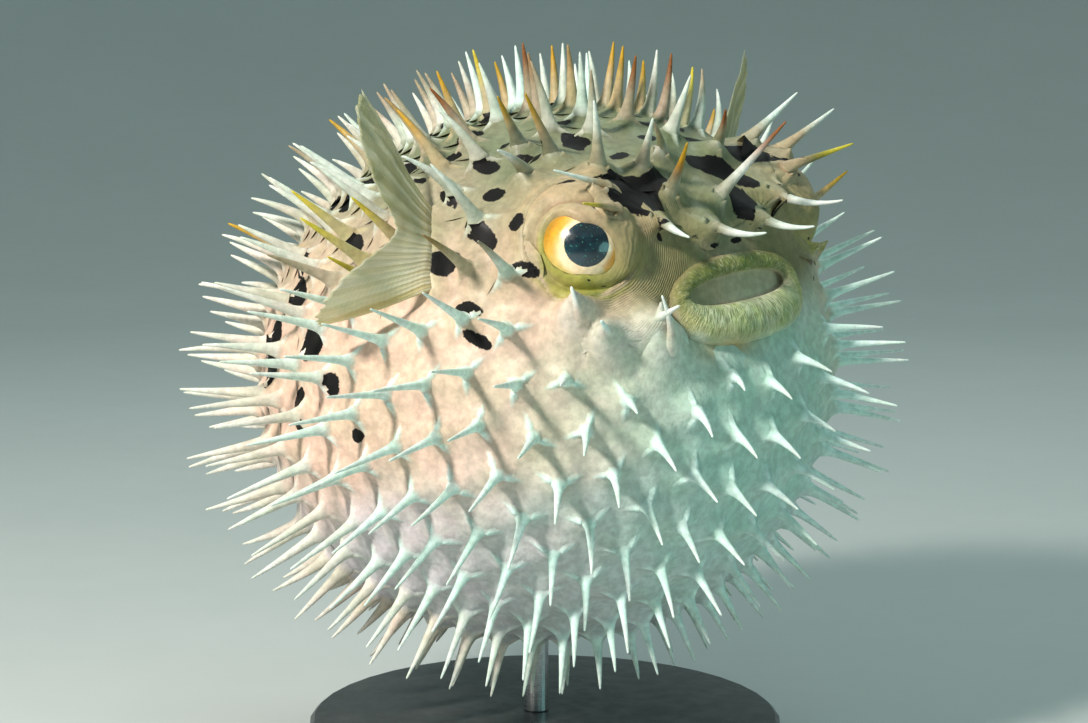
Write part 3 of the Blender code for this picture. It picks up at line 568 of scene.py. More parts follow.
def markings(ways):
    """Distance to the nearest dark mark in mm, its edge pushed about by noise, and more on high tents."""
    folded = mirrored(ways)
    wander = noise(ways * 90.0, 3.4, 1.0) * 0.75 + noise(ways * 90.0, 1.3, 2.0) * 0.28
    spots = np.minimum(spot_distance(folded, FLANK_SPOTS), spot_distance(ways, HEAD_SPOTS)) + wander
    marks = np.minimum(spot_distance(folded, DASHES), spot_distance(folded, NOSTRILS))
    return np.minimum(spots, marks + wander * 0.25) + 9.0 * ease(tents(ways)[0], 0.0022, 0.0056)


def eye_frame(look):
    """The eye's look direction with its forward and upward tangents."""
    look = unit(np.asarray(look, float))
    fore = unit(np.cross(UPRIGHT, look))
    return look, fore, np.cross(look, fore)


def eye_polar(ways):
    """Degrees from the eye's middle, and degrees round it from straight ahead, both sides alike."""
    out, fore, rise = eye_frame(EYE_CENTRE)
    folded = mirrored(ways)
    return angle_between(folded, out), np.degrees(np.arctan2(folded @ rise, folded @ fore))


def fin_root_distance(ways):
    """Millimetres from each direction to the line where a pectoral fin grows out."""
    line = pectoral_root(np.linspace(0.0, 1.0, 13))
    nearest = np.clip(mirrored(ways) @ line.T, -1.0, 1.0).max(axis=-1)
    return np.arccos(nearest) * float(SEMI_AXES.mean()) * 1000.0


def skin_tone(ways):
    """The skin's colour: bands from the back to the belly, with the head's and lids' over them, painted teal
    water light on the chin and a painted sheen where the skin is drawn up over the spines.
    """
    from_mouth = angle_between(ways, MOUTH_LINE)
    folded = mirrored(ways)
    uneven = noise(ways, 0.16, 3.0) * 0.10 + noise(ways, 0.05, 4.0) * 0.04
    level = ways[..., 2] + uneven
    tone = mix(mix(UNDER, BELLY, ease(level, -0.95, -0.45)), FLANK, ease(level, -0.52, -0.02))
    tone = mix(tone, SHOULDER, ease(level, 0.25, 0.60))
    tone = mix(tone, BACK, ease(level, 0.55, 0.90))
    # Painted teal water light over the chin and lower front.
    chin = bump(angle_between(folded, direction(25.0, 180.0)), 0.0, 40.0)
    tone = mix(tone, CHIN_WATER_LIT, np.clip(chin * 1.2, 0.0, 1.0) * ease(level, 0.44, 0.16) * 0.85)
    tone = mix(tone, FOREHEAD, ease(from_mouth, 60.0, 32.0) * ease(level, 0.30, 0.50) * 0.85)
    # Skin high on the tents paler, partly a painted sheen.
    tone = mix(tone, DRAWN_UP_SHEEN, ease(tents(ways)[0], 0.0024, 0.0062) * 0.6)
    off_eye, _ = eye_polar(ways)
    fold = bump(angle_between(folded, direction(FOLD_PLACE[0] - 1.0, FOLD_PLACE[1] - 10.0)), 0.0, 12.0)
    tone = mix(tone, FOLD, np.clip(fold * 1.3, 0.0, 1.0) * ease(level, 0.10, 0.26))
    tone = mix(tone, LID, bump(off_eye, 6.0, 8.0) * 0.9)
    pouch = spot_distance(folded, [EYE_POUCH]) + 0.5 * noise(ways, 0.03, 19.0)
    tone = mix(tone, LOWER_LID, ease(pouch, 0.5, -0.9) * 0.95)
    tone = mix(tone, SHOULDER_ROOT, bump(fin_root_distance(ways), 0.0, 3.6) * 0.8)
    return np.clip(tone * (1.0 + 0.06 * noise(ways, 0.09, 14.0))[..., None], 0.0, 1.0)


# ---------------------------------------------------------------- meshes

def grid_faces(rows, columns):
    """Four-cornered faces of a grid whose rows are closed rings, and each corner's way across and along."""
    row, column = np.meshgrid(np.arange(rows - 1), np.arange(columns), indexing="ij")
    right = (column + 1) % columns
    faces = np.stack([row * columns + column, (row + 1) * columns + column,
                      (row + 1) * columns + right, row * columns + right], -1)
    across = np.stack([column, column, column + 1, column + 1], -1) / columns
    along = np.stack([row, row + 1, row + 1, row], -1) / (rows - 1)
    return faces.reshape(-1, 4), np.stack([across, along], -1).reshape(-1, 4, 2)


def end_faces(rows, columns, tip):
    """Three-cornered faces from a grid's last ring to one tip."""
    ring = np.arange(columns) + (rows - 1) * columns
    return np.stack([np.full(columns, tip), np.roll(ring, -1), ring], -1)


def both_ends(rows, columns):
    """The faces that close a grid's first and last ring to the two points that follow the grid's own."""
    ring = np.arange(columns)
    front = np.stack([ring, np.roll(ring, -1), np.full(columns, rows * columns)], -1)
    return np.concatenate([front, end_faces(rows, columns, rows * columns + 1)])


def outward(points, faces):
    """True if the faces turn their fronts away from the origin, by the sign of the volume inside them."""
    a, b, c = (points[faces[:, k]] for k in range(3))
    return float((a * np.cross(b, c)).sum()) > 0.0


def with_ends(grid):
    """A grid's points in one list, followed by the middles of its first and last rings."""
    return np.concatenate([grid.reshape(-1, 3), grid[:1].mean(axis=1), grid[-1:].mean(axis=1)])


def placed(name, data):
    """A new object of the scene from its data."""
    obj = bpy.data.objects.new(name, data)
    bpy.context.scene.collection.objects.link(obj)
    return obj


def placed_mesh(name, mesh, material):
    """A new object of the scene from a mesh, smoothed and with its material."""
    mesh.shade_smooth()
    mesh.materials.append(material)
    return placed(name, mesh)


def make_piece(name, points, quads, triangles, places, material, values):
    """A mesh from points in the fish's frame, turned outwards, with its bake map and its point values."""
    quads, places = quads.reshape(-1, 4), places.reshape(-1, 4, 2)
    triangles = np.asarray(triangles, int).reshape(-1, 3)
    corners = np.concatenate([quads[:, [0, 1, 2]], quads[:, [0, 2, 3]], triangles])
    if not outward(points, corners):
        quads, triangles, places = quads[:, ::-1], triangles[:, ::-1], places[:, ::-1]
    mesh = bpy.data.meshes.new(name)
    mesh.from_pydata(to_stand(points).tolist(), [], quads.tolist() + triangles.tolist())
    for key, value in values.items():
        value = np.asarray(value, float)
        if value.ndim == 1:
            mesh.attributes.new(key, "FLOAT", "POINT").data.foreach_set("value", value.astype(np.float32))
        else:
            colour = np.concatenate([value, np.ones((len(value), 1))], -1).astype(np.float32)
            mesh.attributes.new(key, "FLOAT_COLOR", "POINT").data.foreach_set("color", colour.ravel())
    layer = mesh.uv_layers.new(name="OFBake")
    flat = np.zeros((len(mesh.loops), 2), np.float32)
    flat[:places.size // 2] = places.reshape(-1, 2)
    layer.data.foreach_set("uv", flat.ravel())
    return placed_mesh(name, mesh, material)


# ---------------------------------------------------------------- materials

class Nodes:
    """Short calls for building one material's nodes."""

    def __init__(self, name):
        self.material = bpy.data.materials.new(name)
        self.material.use_nodes = True
        self.tree = self.material.node_tree
        self.shader = self.tree.nodes["Principled BSDF"]

    def add(self, kind, settings=None, **inputs):
        """A node with its settings, and its inputs set to a value or joined to another node's output."""
        node = self.tree.nodes.new(kind)
        for key, value in (settings or {}).items():
            setattr(node, key, value)
        for key, value in inputs.items():
            self.feed(node.inputs[key], value)
        return node

    def feed(self, socket, value):
        if isinstance(value, bpy.types.NodeSocket):
            self.tree.links.new(value, socket)
        else:
            socket.default_value = value

    def value(self, name):
        return self.add("ShaderNodeAttribute", {"attribute_name": name}).outputs["Fac"]

    def colour(self, name):
        return self.add("ShaderNodeAttribute", {"attribute_name": name}).outputs["Color"]

    def place(self):
        return self.add("ShaderNodeTexCoord").outputs["Object"]

    def noise(self, scale, detail=3.0, roughness=0.55):
        return self.add("ShaderNodeTexNoise", Vector=self.place(), Scale=scale, Detail=detail,
                        Roughness=roughness).outputs["Fac"]

    def stretched(self, vector, stretch, scale):
        """Noise of that scale on a vector stretched along its axes."""
        mapping = self.add("ShaderNodeMapping", Vector=vector)
        mapping.inputs["Scale"].default_value = stretch
        node = self.add("ShaderNodeTexNoise", Vector=mapping.outputs[0], Scale=scale, Detail=3.0)
        return node.outputs["Fac"]

    def maths(self, operation, first, second=0.0, third=0.0):
        node = self.add("ShaderNodeMath", {"operation": operation})
        for socket, value in zip(node.inputs, (first, second, third)):
            self.feed(socket, value)
        return node.outputs[0]

    def times(self, first, second):
        return self.maths("MULTIPLY", first, second)

    def wave(self, kind, value, factor, wobble, push):
        """The sine or cosine of value times factor, pushed about by wobble times push."""
        return self.maths(kind, self.maths("MULTIPLY_ADD", value, factor, self.times(wobble, push)))

    def shaded(self, tone, grey):
        """The tone multiplied by a grey value."""
        factor = self.add("ShaderNodeCombineColor", Red=grey, Green=grey, Blue=grey).outputs[0]
        return self.blend(1.0, tone, factor, "MULTIPLY")

    def steps(self, value, low, high, to_low=0.0, to_high=1.0):
        """value moved smoothly from low..high to to_low..to_high."""
        node = self.add("ShaderNodeMapRange", {"interpolation_type": "SMOOTHSTEP"}, Value=value)
        for key, number in (("From Min", low), ("From Max", high), ("To Min", to_low), ("To Max", to_high)):
            node.inputs[key].default_value = number
        return node.outputs["Result"]

    def blend(self, weight, first, second, kind="MIX"):
        """The first colour moved to the second by weight: a mix node's colour sockets are its last two."""
        node = self.add("ShaderNodeMix", {"data_type": "RGBA", "blend_type": kind})
        for socket, value in ((node.inputs[0], weight), (node.inputs[6], first), (node.inputs[7], second)):
            plain = isinstance(value, (bpy.types.NodeSocket, float))
            self.feed(socket, value if plain else (*value, 1.0))
        return node.outputs[2]

    def bumps(self, height, distance, normal=None):
        node = self.add("ShaderNodeBump", Height=height, Distance=distance)
        if normal is not None:
            self.feed(node.inputs["Normal"], normal)
        return node.outputs["Normal"]

    def set(self, **inputs):
        for key, value in inputs.items():
            self.feed(self.shader.inputs[key.replace("_", " ")], value)


def flesh_material():
    """Skin and spines: their colour, painted light and shade included, with mottling, dark ragged spots,
    fine wrinkles and lip grains.
    """
    n = Nodes("fish_skin")
    tone = n.colour("tone")
    mottle = n.steps(n.noise(420.0, 4.0), 0.30, 0.72, 0.82, 1.10)
    blotch = n.steps(n.noise(90.0, 2.0), 0.35, 0.65)
    tone = n.blend(blotch, tone, n.blend(1.0, tone, (0.90, 0.98, 0.93), "MULTIPLY"))
    tone = n.shaded(tone, mottle)
    bake_map = n.add("ShaderNodeUVMap", {"uv_map": "OFBake"}).outputs["UV"]
    grains = n.stretched(bake_map, (250.0, 70.0, 1.0), 1.0)
    lips = n.value("lips")
    grain_height = n.times(n.steps(grains, 0.30, 0.70), lips)
    tone = n.blend(n.times(n.steps(grains, 0.52, 0.34), n.times(lips, 0.65)), tone, GRAIN_DARK)
    tone = n.blend(n.times(n.steps(grains, 0.55, 0.70), n.times(lips, 0.40)), tone, GRAIN_PALE)
    ragged = n.maths("MULTIPLY_ADD", n.noise(1100.0, 3.0), 1.1, -0.55)
    dark = n.steps(n.maths("ADD", n.value("spot"), ragged), -0.22, 0.18, 1.0, 0.0)
    tone = n.blend(dark, tone, BLACK)
    rings = n.times(n.wave("SINE", n.value("off_eye"), 10.5, n.noise(190.0, 3.0), 11.0), n.value("wrinkle"))
    broken = n.steps(n.noise(240.0, 2.0), 0.42, 0.60)
    tone = n.blend(n.times(n.times(n.steps(rings, 0.2, 0.9), broken), 0.20), tone, WRINKLE)
    folds = n.bumps(n.noise(260.0, 5.0, 0.6), 0.00035)
    folds = n.bumps(n.noise(1500.0, 2.0), 0.00008, folds)
    folds = n.bumps(rings, 0.00009, folds)
    folds = n.bumps(grain_height, 0.00022, folds)
    rough = n.maths("MAXIMUM", n.steps(n.noise(300.0), 0.3, 0.7, 0.40, 0.56), n.times(dark, 0.68))
    n.set(Base_Color=tone, Roughness=rough, Normal=folds, Specular_IOR_Level=0.20,
          Coat_Weight=0.05, Coat_Roughness=0.30, Subsurface_Weight=0.08, Subsurface_Radius=(1.0, 0.5, 0.3),
          Subsurface_Scale=0.002)
    return n.material


def eye_material():
    """The eyeball: a deep blue-black pupil with green glints, and the iris's own colour, streaked."""
    n = Nodes("fish_eye")
    gaze = n.value("gaze")
    jitter = n.maths("MULTIPLY_ADD", n.noise(700.0, 2.0), 1.2, -0.6)
    pupil = n.steps(n.maths("ADD", gaze, jitter), PUPIL_EDGE - 0.6, PUPIL_EDGE + 0.6, 1.0, 0.0)
    specks = n.add("ShaderNodeTexVoronoi", Vector=n.place(), Scale=1050.0)
    glint = n.steps(specks.outputs["Distance"], 0.16, 0.30, 1.0, 0.0)
    glint = n.times(glint, n.steps(n.noise(900.0), 0.42, 0.60))
    deep = n.blend(n.steps(n.noise(160.0, 2.0), 0.35, 0.7), PUPIL_DEEP, PUPIL_BLUE)
    deep = n.blend(glint, deep, GLINT)
    streaks = n.steps(n.noise(520.0, 4.0), 0.3, 0.7, 0.86, 1.06)
    iris = n.shaded(n.colour("tone"), streaks)
    n.set(Base_Color=n.blend(pupil, iris, deep), Roughness=n.steps(n.noise(900.0), 0.3, 0.7, 0.16, 0.26),
          Coat_Weight=1.0, Coat_Roughness=0.03, Normal=n.bumps(n.noise(800.0, 3.0), 0.00004))
    return n.material


def fin_material():
    """Fin membrane: thin and olive, a little paler along its fine rays, faintly jointed and blotched."""
    n = Nodes("fish_fin")
    ray = n.value("ray")
    wobble = n.noise(420.0, 3.0)
    bands = n.wave("COSINE", ray, 2.0 * math.pi, wobble, 2.0)
    fine = n.wave("COSINE", ray, 8.0 * math.pi, wobble, 5.0)
    joints = n.wave("SINE", n.value("reach"), 130.0, wobble, 7.0)
    lines = n.maths("ADD", bands, n.times(fine, 0.45))
    tone = n.colour("tone")
    tone = n.blend(n.steps(lines, 0.0, 1.3), n.blend(1.0, tone, (0.90, 0.91, 0.84), "MULTIPLY"),
                   n.blend(1.0, tone, (1.14, 1.13, 1.10), "MULTIPLY"))
    streaks = n.steps(n.wave("SINE", ray, 3.1, wobble, 2.0), -0.2, 0.9)
    tone = n.blend(n.times(streaks, 0.30), tone, RAY_PALE)
    tone = n.blend(n.times(n.steps(joints, 0.3, 0.9), 0.08), tone, RAY_JOINT)
    tone = n.blend(n.steps(n.noise(110.0), 0.45, 0.75, 0.0, 0.30), tone, FIN_BLOTCH)
    n.set(Base_Color=tone, Roughness=n.steps(wobble, 0.3, 0.7, 0.40, 0.54), Specular_IOR_Level=0.3,
          Coat_Weight=0.1, Coat_Roughness=0.3, Subsurface_Weight=0.35, Subsurface_Radius=(1.0, 0.8, 0.4),
          Subsurface_Scale=0.003, Alpha=n.steps(n.value("reach"), 0.25, 0.8, 0.96, 0.70),
          Normal=n.bumps(lines, 0.00005))
    return n.material


def base_material():
    """Satin dark paint with a faint orange-peel and dust."""
    n = Nodes("stand_paint")
    dust = n.steps(n.noise(60.0, 6.0), 0.45, 0.75, 0.0, 0.25)
    n.set(Base_Color=n.blend(dust, PAINT, DUST),
          Roughness=n.steps(n.noise(150.0, 4.0), 0.3, 0.7, 0.30, 0.46), Coat_Weight=0.3, Coat_Roughness=0.2,
          Normal=n.bumps(n.noise(1400.0, 2.0), 0.00003))
    return n.material


def rod_material():
    """Brushed steel: fine rings round the rod."""
    n = Nodes("stand_steel")
    grain = n.stretched(n.place(), (1.0, 1.0, 60.0), 160.0)
    n.set(Base_Color=n.blend(grain, STEEL_DARK, STEEL_PALE), Metallic=1.0,
          Roughness=n.steps(grain, 0.3, 0.7, 0.24, 0.40), Normal=n.bumps(grain, 0.00003))
    return n.material


def floor_material():
    """Plain pale matt floor with the least unevenness."""
    n = Nodes("studio_floor")
    n.set(Base_Color=n.blend(n.noise(6.0, 5.0), FLOOR_DARK, FLOOR_PALE),
          Roughness=n.steps(n.noise(40.0), 0.3, 0.7, 0.7, 0.85))
    return n.material


# ---------------------------------------------------------------- skin

def mouth_way(half_size, around, raised=0.0):
    """A superellipse of directions round the mouth, at the muzzle's reach and moved up by raised."""
    axis, up = ring_axis(0.0)
    turn = np.radians(around)
    power = LIP_SQUARENESS
    squash = (np.abs(np.sin(turn)) ** power + np.abs(np.cos(turn)) ** power) ** (-1.0 / power)
    across = -np.sin(turn) * squash * half_size[..., 0]
    rise = np.cos(turn) * squash * half_size[..., 1] + raised
    ahead = np.sqrt(MUZZLE_REACH**2 - across**2 - rise**2)
    left = np.array([0.0, 1.0, 0.0])
    return unit(ahead[..., None] * axis + rise[..., None] * up + across[..., None] * left)


def tents(ways):
    """How far the skin is drawn up by its spines, and how far the way they lean.

    The rise is the most that any tent gives, a power of what is left of its width, and the drift is the rise
    times that spine's lean.
    """
    flat = ways.reshape(-1, 3)
    rise, drift = np.zeros(len(flat)), np.zeros((len(flat), 3))
    for start in range(0, len(flat), 4000):
        here = slice(start, start + 4000)
        along = flat[here] @ SPINE_WAYS.T
        point, spine = np.nonzero(along > np.cos(np.radians(TENT_WIDTHS)))
        apart = np.degrees(np.sqrt(np.maximum(2.0 - 2.0 * along[point, spine], 0.0)))
        each = np.zeros_like(along)
        left = np.clip(1.0 - apart / TENT_WIDTHS[spine], 0.0, 1.0)
        each[point, spine] = TENT_HEIGHTS[spine] * left**TENT_POWER
        most = each.argmax(axis=1)
        rise[here] = each[np.arange(len(each)), most]
        drift[here] = rise[here, None] * TENT_LEANS[most]
    return rise.reshape(ways.shape[:-1]), drift.reshape(ways.shape)


def folds(ways):
    """Soft folds of three sizes, pits at the nostrils, a groove round the eyes, a rise at the fin roots."""
    points = ways * FOLD_BALL
    rise = noise(points, 0.016, 5.0) * 0.00050 + noise(points, 0.006, 6.0) * 0.00014
    rise = rise + noise(points * np.array([1.0, 1.0, 2.4]), 0.0035, 7.0) * 0.00009
    folded = mirrored(ways)
    rise = rise - 0.0012 * ease(spot_distance(folded, NOSTRILS), 0.5, -0.6)
    rise = rise - 0.0006 * bump(spot_distance(folded, [EYE_POUCH]), 0.2, 0.8)
    rise = rise + 0.0034 * bump(fin_root_distance(ways), 0.0, 3.4)
    return rise + 0.0010 * bump(angle_between(folded, direction(13.0, 24.0)), 0.0, 3.5)


def drawn_skin(ways, lift=0.0, share=1.0):
    """Skin points at a lift along each direction, with a share of their folds and of the spines' tents."""
    rise, drift = tents(ways)
    share = np.broadcast_to(share, rise.shape)
    return skin_point(ways, lift + (rise + folds(ways)) * share) + drift * share[..., None]


def rows_of(points, ways, mouth=0.0, lips=0.0):
    """Rows of the skin: points, directions that carry the markings, and mouth and lip weights."""
    shape = ways.shape[:-1]
    return points, ways, np.broadcast_to(mouth, shape), np.broadcast_to(lips, shape)


def hollow_rows(around):
    """The mouth's hollow: rings that shrink to its back wall, and widen behind the lips."""
    depth = np.linspace(0.0, 1.0, 14)[:, None]
    wide = (0.06 + 0.94 * ease(depth, 0.0, 0.45)) * (1.0 + 0.10 * bump(depth, 0.7, 0.2))
    ways = mouth_way(LIP_OPENING * wide[..., None], around)
    lift = -0.0020 + 0.0016 * ease(depth, 0.40, 1.0)
    return rows_of(skin_point(ways, lift), ways, 1.0 - ease(depth, 0.80, 1.0), ease(depth, 0.86, 1.0))


def lip_rows(around):
    """The lips: a half ring section swept round the mouth, thin above and full below, with fine pleats."""
    turn = np.linspace(0.02, 1.0, 26)[:, None]
    out = 0.5 - 0.5 * np.cos(np.pi * turn)
    ways = mouth_way(LIP_OPENING + (LIP_OUTER - LIP_OPENING) * out[..., None], around, -LIP_DROP * out)
    points = ways * FOLD_BALL
    below = 0.5 - 0.5 * np.cos(np.radians(around))
    corners = np.sin(np.radians(around)) ** 2
    plump = (0.50 + 0.58 * below) * (1.0 - 0.34 * corners) + 0.12 * noise(points, 0.011, 8.0)
    crest = np.sin(np.pi * turn ** (0.82 + 0.22 * below)) * (1.0 - 0.25 * turn) * 1.12
    unrolled = np.stack(np.broadcast_arrays(np.radians(around), 0.15 * turn, 0.0), -1)
    lift = -0.0004 * (1.0 - turn) + 0.0047 * crest * plump - 0.0003 * ease(turn, 0.7, 1.0)
    lift = lift + noise(unrolled, 0.13, 9.0) * 0.00030 * crest + noise(points, 0.0016, 20.0) * 0.00014
    lift = lift + noise(points, 0.005, 10.0) * 0.0003
    ragged = turn + 0.12 * noise(points, 0.004, 22.0)
    return rows_of(skin_point(ways, lift), ways, ease(turn, 0.16, 0.0), 1.0 - ease(ragged, 0.50, 0.98))


def muzzle_rows(around):
    """The muzzle: from the lips' oval out to a round ring."""
    run = np.linspace(0.0, 1.0, 26)[1:, None]
    oval = mouth_way(LIP_OUTER * (1.0 + 0.22 * run[..., None]), around, -LIP_DROP * (1.0 - run))
    rounder = ease(run, 0.0, 1.0)[..., None]
    ways = unit(oval * (1.0 - rounder) + direction(MUZZLE_RING, around) * rounder)
    return rows_of(drawn_skin(ways, -0.0003 * (1.0 - ease(run, 0.0, 0.35)), ease(run, 0.0, 0.5)), ways)


def ball_rows(around):
    """The ball, ring by ring, closer together on the head, sunk under the eyes and easing into the tail."""
    head, body = np.arange(MUZZLE_RING + 0.5, HEAD_END, 0.5), np.arange(HEAD_END, JOIN_END, 1.0)
    angles = np.concatenate([head, body])[:, None]
    ways = direction(angles, around)
    off_eye, _ = eye_polar(ways)
    sunk = sum(depth * ease(off_eye, start, end) for depth, start, end in EYE_STEPS)
    ball = drawn_skin(ways, -sunk, ease(angles, JOIN_END, JOIN_START))
    way_along = np.clip((angles - JOIN_START) / (JOIN_END - JOIN_START), 0.0, 1.0) * 0.10
    stalk = tail_point(way_along, around)
    joined = ease(angles, JOIN_START - 1.0, JOIN_END)[..., None]
    return rows_of(ball * (1.0 - joined) + stalk * joined, ways)


def tail_rows(around):
    """The tail's stalk to its end, closed by rows that shrink to its middle."""
    way_along = np.concatenate([np.linspace(0.115, 1.0, 34), np.ones(4)])[:, None]
    closing = np.concatenate([np.ones(34), [0.85, 0.6, 0.3, 0.08]])[:, None]
    points = tail_point(way_along, around, closing)
    return rows_of(points, unit(points))


def skin_rows(around):
    """Every row of the skin, as in rows_of, from the mouth's back wall over the ball to the tail's end."""
    blocks = [rows(around) for rows in (hollow_rows, lip_rows, muzzle_rows, ball_rows, tail_rows)]
    return [np.concatenate(part) for part in zip(*blocks)]


def tail_point(way_along, around, closing=1.0):
    """Points round the tail's stalk: an upright oval section carried along the bent centre line."""
    centre, _, across = tail_frame(way_along)
    size = tail_size(way_along)
    turn = np.radians(around)
    return (centre + across * (np.sin(turn) * size[..., 0] * closing)[..., None]
            + UPRIGHT * (np.cos(turn) * size[..., 1] * closing)[..., None])


def mouth_tone(tone, ways, mouth, lips):
    """Lips dark olive above and pale green below, ochre under them, and the hollow darkened at its right end
    by painted shade.
    """
    rise = ways @ ring_axis(0.0)[1]
    low = ease(rise + 0.03 * noise(ways, 0.05, 15.0), 0.05, -0.05)
    patchy = 0.5 + 0.5 * noise(ways, 0.035, 21.0)
    lip = mix(mix(LIP, LIP_LOW, low), mix(LIP_PATCH, LIP_LOW_PATCH, low), patchy * 0.65)
    out = np.hypot(ways[..., 1] / LIP_OUTER[0], (rise + 0.02) / LIP_OUTER[1]) * MUZZLE_REACH
    lip = mix(lip, mix(LIP_RIM, LIP_LOW_RIM, low), ease(out, 0.72, 1.02) * 0.8)
    tone = mix(tone, lip, lips)
    under = bump(rise, -0.17, 0.05) * bump(ways[..., 1], -0.12, 0.13) * (ways[..., 0] > 0.0)
    tone = mix(tone, OCHRE, under * (1.0 - lips) * 0.75)
    inner = mix(INNER_LIP, MOUTH_INSIDE, ease(mouth, 0.35, 0.85))
    inner = mix(inner, INNER_LIP, ease(rise * MUZZLE_REACH / LIP_OPENING[1], 0.0, -1.0) * 0.6)
    # Painted shade darkens the hollow towards its right end.
    return mix(tone, mix(inner, MOUTH_END_SHADE, ease(ways[..., 1], 0.02, -0.20) * 0.5), mouth)


def make_skin(material):
    """One skin from the mouth to the tail's end, its two ends closed."""
    points, ways, mouth, lips = skin_rows(np.arange(SKIN_COLUMNS) * 360.0 / SKIN_COLUMNS)
    rows = len(points)
    quads, places = grid_faces(rows, SKIN_COLUMNS)
    flat, ways = with_ends(points), ways.reshape(-1, 3)
    ways = np.concatenate([ways, ways[:1], ways[-1:]])
    mouth = np.concatenate([mouth.ravel(), [1.0, 0.0]])
    lips = np.concatenate([lips.ravel(), [0.0, 0.0]])
    spot = markings(ways) + 40.0 * np.maximum(mouth, lips)
    values = {"tone": mouth_tone(skin_tone(ways), ways, mouth, lips), "spot": spot,
              "lips": lips * (1.0 - mouth), **wrinkle_values(flat, ways, 1.0 - np.maximum(mouth, lips))}
    return make_piece("skin", flat, quads, both_ends(rows, SKIN_COLUMNS), places, material, values)


def wrinkle_values(points, ways, weight):
    """How deep the fine wrinkles run in front of and below each eye, and mm from the eye's centre."""
    off_eye, round_eye = eye_polar(ways)
    deep = bump(round_eye, -30.0, 50.0) * ease(off_eye, 23.0, 16.0) * weight
    return {"wrinkle": deep, "off_eye": np.linalg.norm(mirrored(points) - EYE_CENTRE, axis=-1) * 1000.0}


# ---------------------------------------------------------------- eyes and lids

def lid_opening(round_eye, cover):
    """Half opening of the lids in degrees at each turn round the eye, less where the front fold covers it.

    It joins the named openings by straight lines, averaged over a few degrees either way.
    """
    near = [np.interp(round_eye + step, LID_TURNS, LID_MARGIN, period=360.0)
            for step in np.linspace(-13.0, 13.0, 7)]
    return np.mean(near, axis=0) - cover * bump(round_eye, -5.0, 62.0)


def lid_folds(share, round_eye):
    """Rise of the lids in mm: two soft rolls with creases above, a pouch below, and a mound in front."""
    above = bump(round_eye, 88.0, 58.0)
    below = bump(round_eye, -100.0, 62.0)
    front = bump(round_eye, -18.0, 44.0)
    rise = above * (0.7 * bump(share, 0.17, 0.09) - 0.8 * bump(share, 0.33, 0.045)
                    + bump(share, 0.50, 0.09) - 0.7 * bump(share, 0.66, 0.035))
    rise = rise + below * 0.6 * bump(share, 0.34, 0.20)
    return rise + front * 2.6 * bump(share, 0.34, 0.20) * ease(share, 0.0, 0.12)


def lid_patch(cover):
    """The right eye's lids: from a rounded margin on the eyeball, over its dome, out into the head's skin.

    Near the margin a point lies on a sphere about the eyeball, at the lid's thickness. Further out it lies
    on the head's skin, in rings about the eye. An S-shaped weight carries it from one to the other.
    """
    rows, columns = 76, 192
    share = np.linspace(0.0, 1.0, rows)[:, None]
    round_eye = (np.arange(columns) * 360.0 / columns + 180.0) % 360.0 - 180.0
    turn = np.radians(round_eye)
    open_by = lid_opening(round_eye, cover)
    lean = open_by + (88.0 - open_by) * np.clip(share / 0.75, 0.0, 1.0) ** 1.25
    radius = EYE_RADIUS - 0.0003 + 0.0014 * (1.0 - np.exp(-(lean - open_by) / 3.0))
    near = EYE_CENTRE + cone_way(eye_frame(EYE_LOOK), np.radians(lean), turn) * radius[..., None]
    ways = cone_way(eye_frame(EYE_CENTRE), np.radians(4.5 + 9.5 * share), turn)
    joined = ease(share, 0.10, 0.72)[..., None]
    over = drawn_skin(ways, 0.00005 - 0.00030 * ease(share, 0.80, 1.0), ease(share, 0.45, 0.75))
    points = near * (1.0 - joined) + over * joined
    points = points + unit(points - EYE_CENTRE) * (lid_folds(share, round_eye) * 0.001)[..., None]
    return points, unit(points), share * np.ones(columns), round_eye * np.ones((rows, 1))


def lid_tone(tone, share, round_eye, ways):
    """Lids beige above with painted shade in their creases, olive below with a dark scalloped edge, brownish
    in front.
    """
    below = bump(round_eye, -98.0, 60.0)
    behind = bump(np.abs(round_eye), 180.0, 44.0)
    above = ease(round_eye, 5.0, 50.0) * ease(round_eye, 175.0, 130.0)
    uneven = noise(ways, 0.03, 16.0)
    lid = mix(mix(LID, FOLD, bump(round_eye, -15.0, 50.0) * 0.7), LOWER_LID,
              np.clip(below + behind * ease(share, 0.30, 0.06), 0.0, 1.0) * ease(share, 0.88, 0.70))
    # Painted shade along the creases above the eye, where the lids fold in.
    creases = bump(share, 0.66, 0.035) + 0.5 * bump(share, 0.33, 0.03)
    lid = mix(lid, CREASE_SHADE, above * creases * (0.75 + 0.25 * uneven))
    edge = 0.030 + 0.016 * uneven + 0.010 * np.cos(np.radians(round_eye * 14.0))
    lid = mix(lid, LID_EDGE, ease(share, edge + 0.012, edge - 0.012) * (0.35 + 0.6 * below))
    return mix(tone, lid, ease(share, 0.95, 0.60))


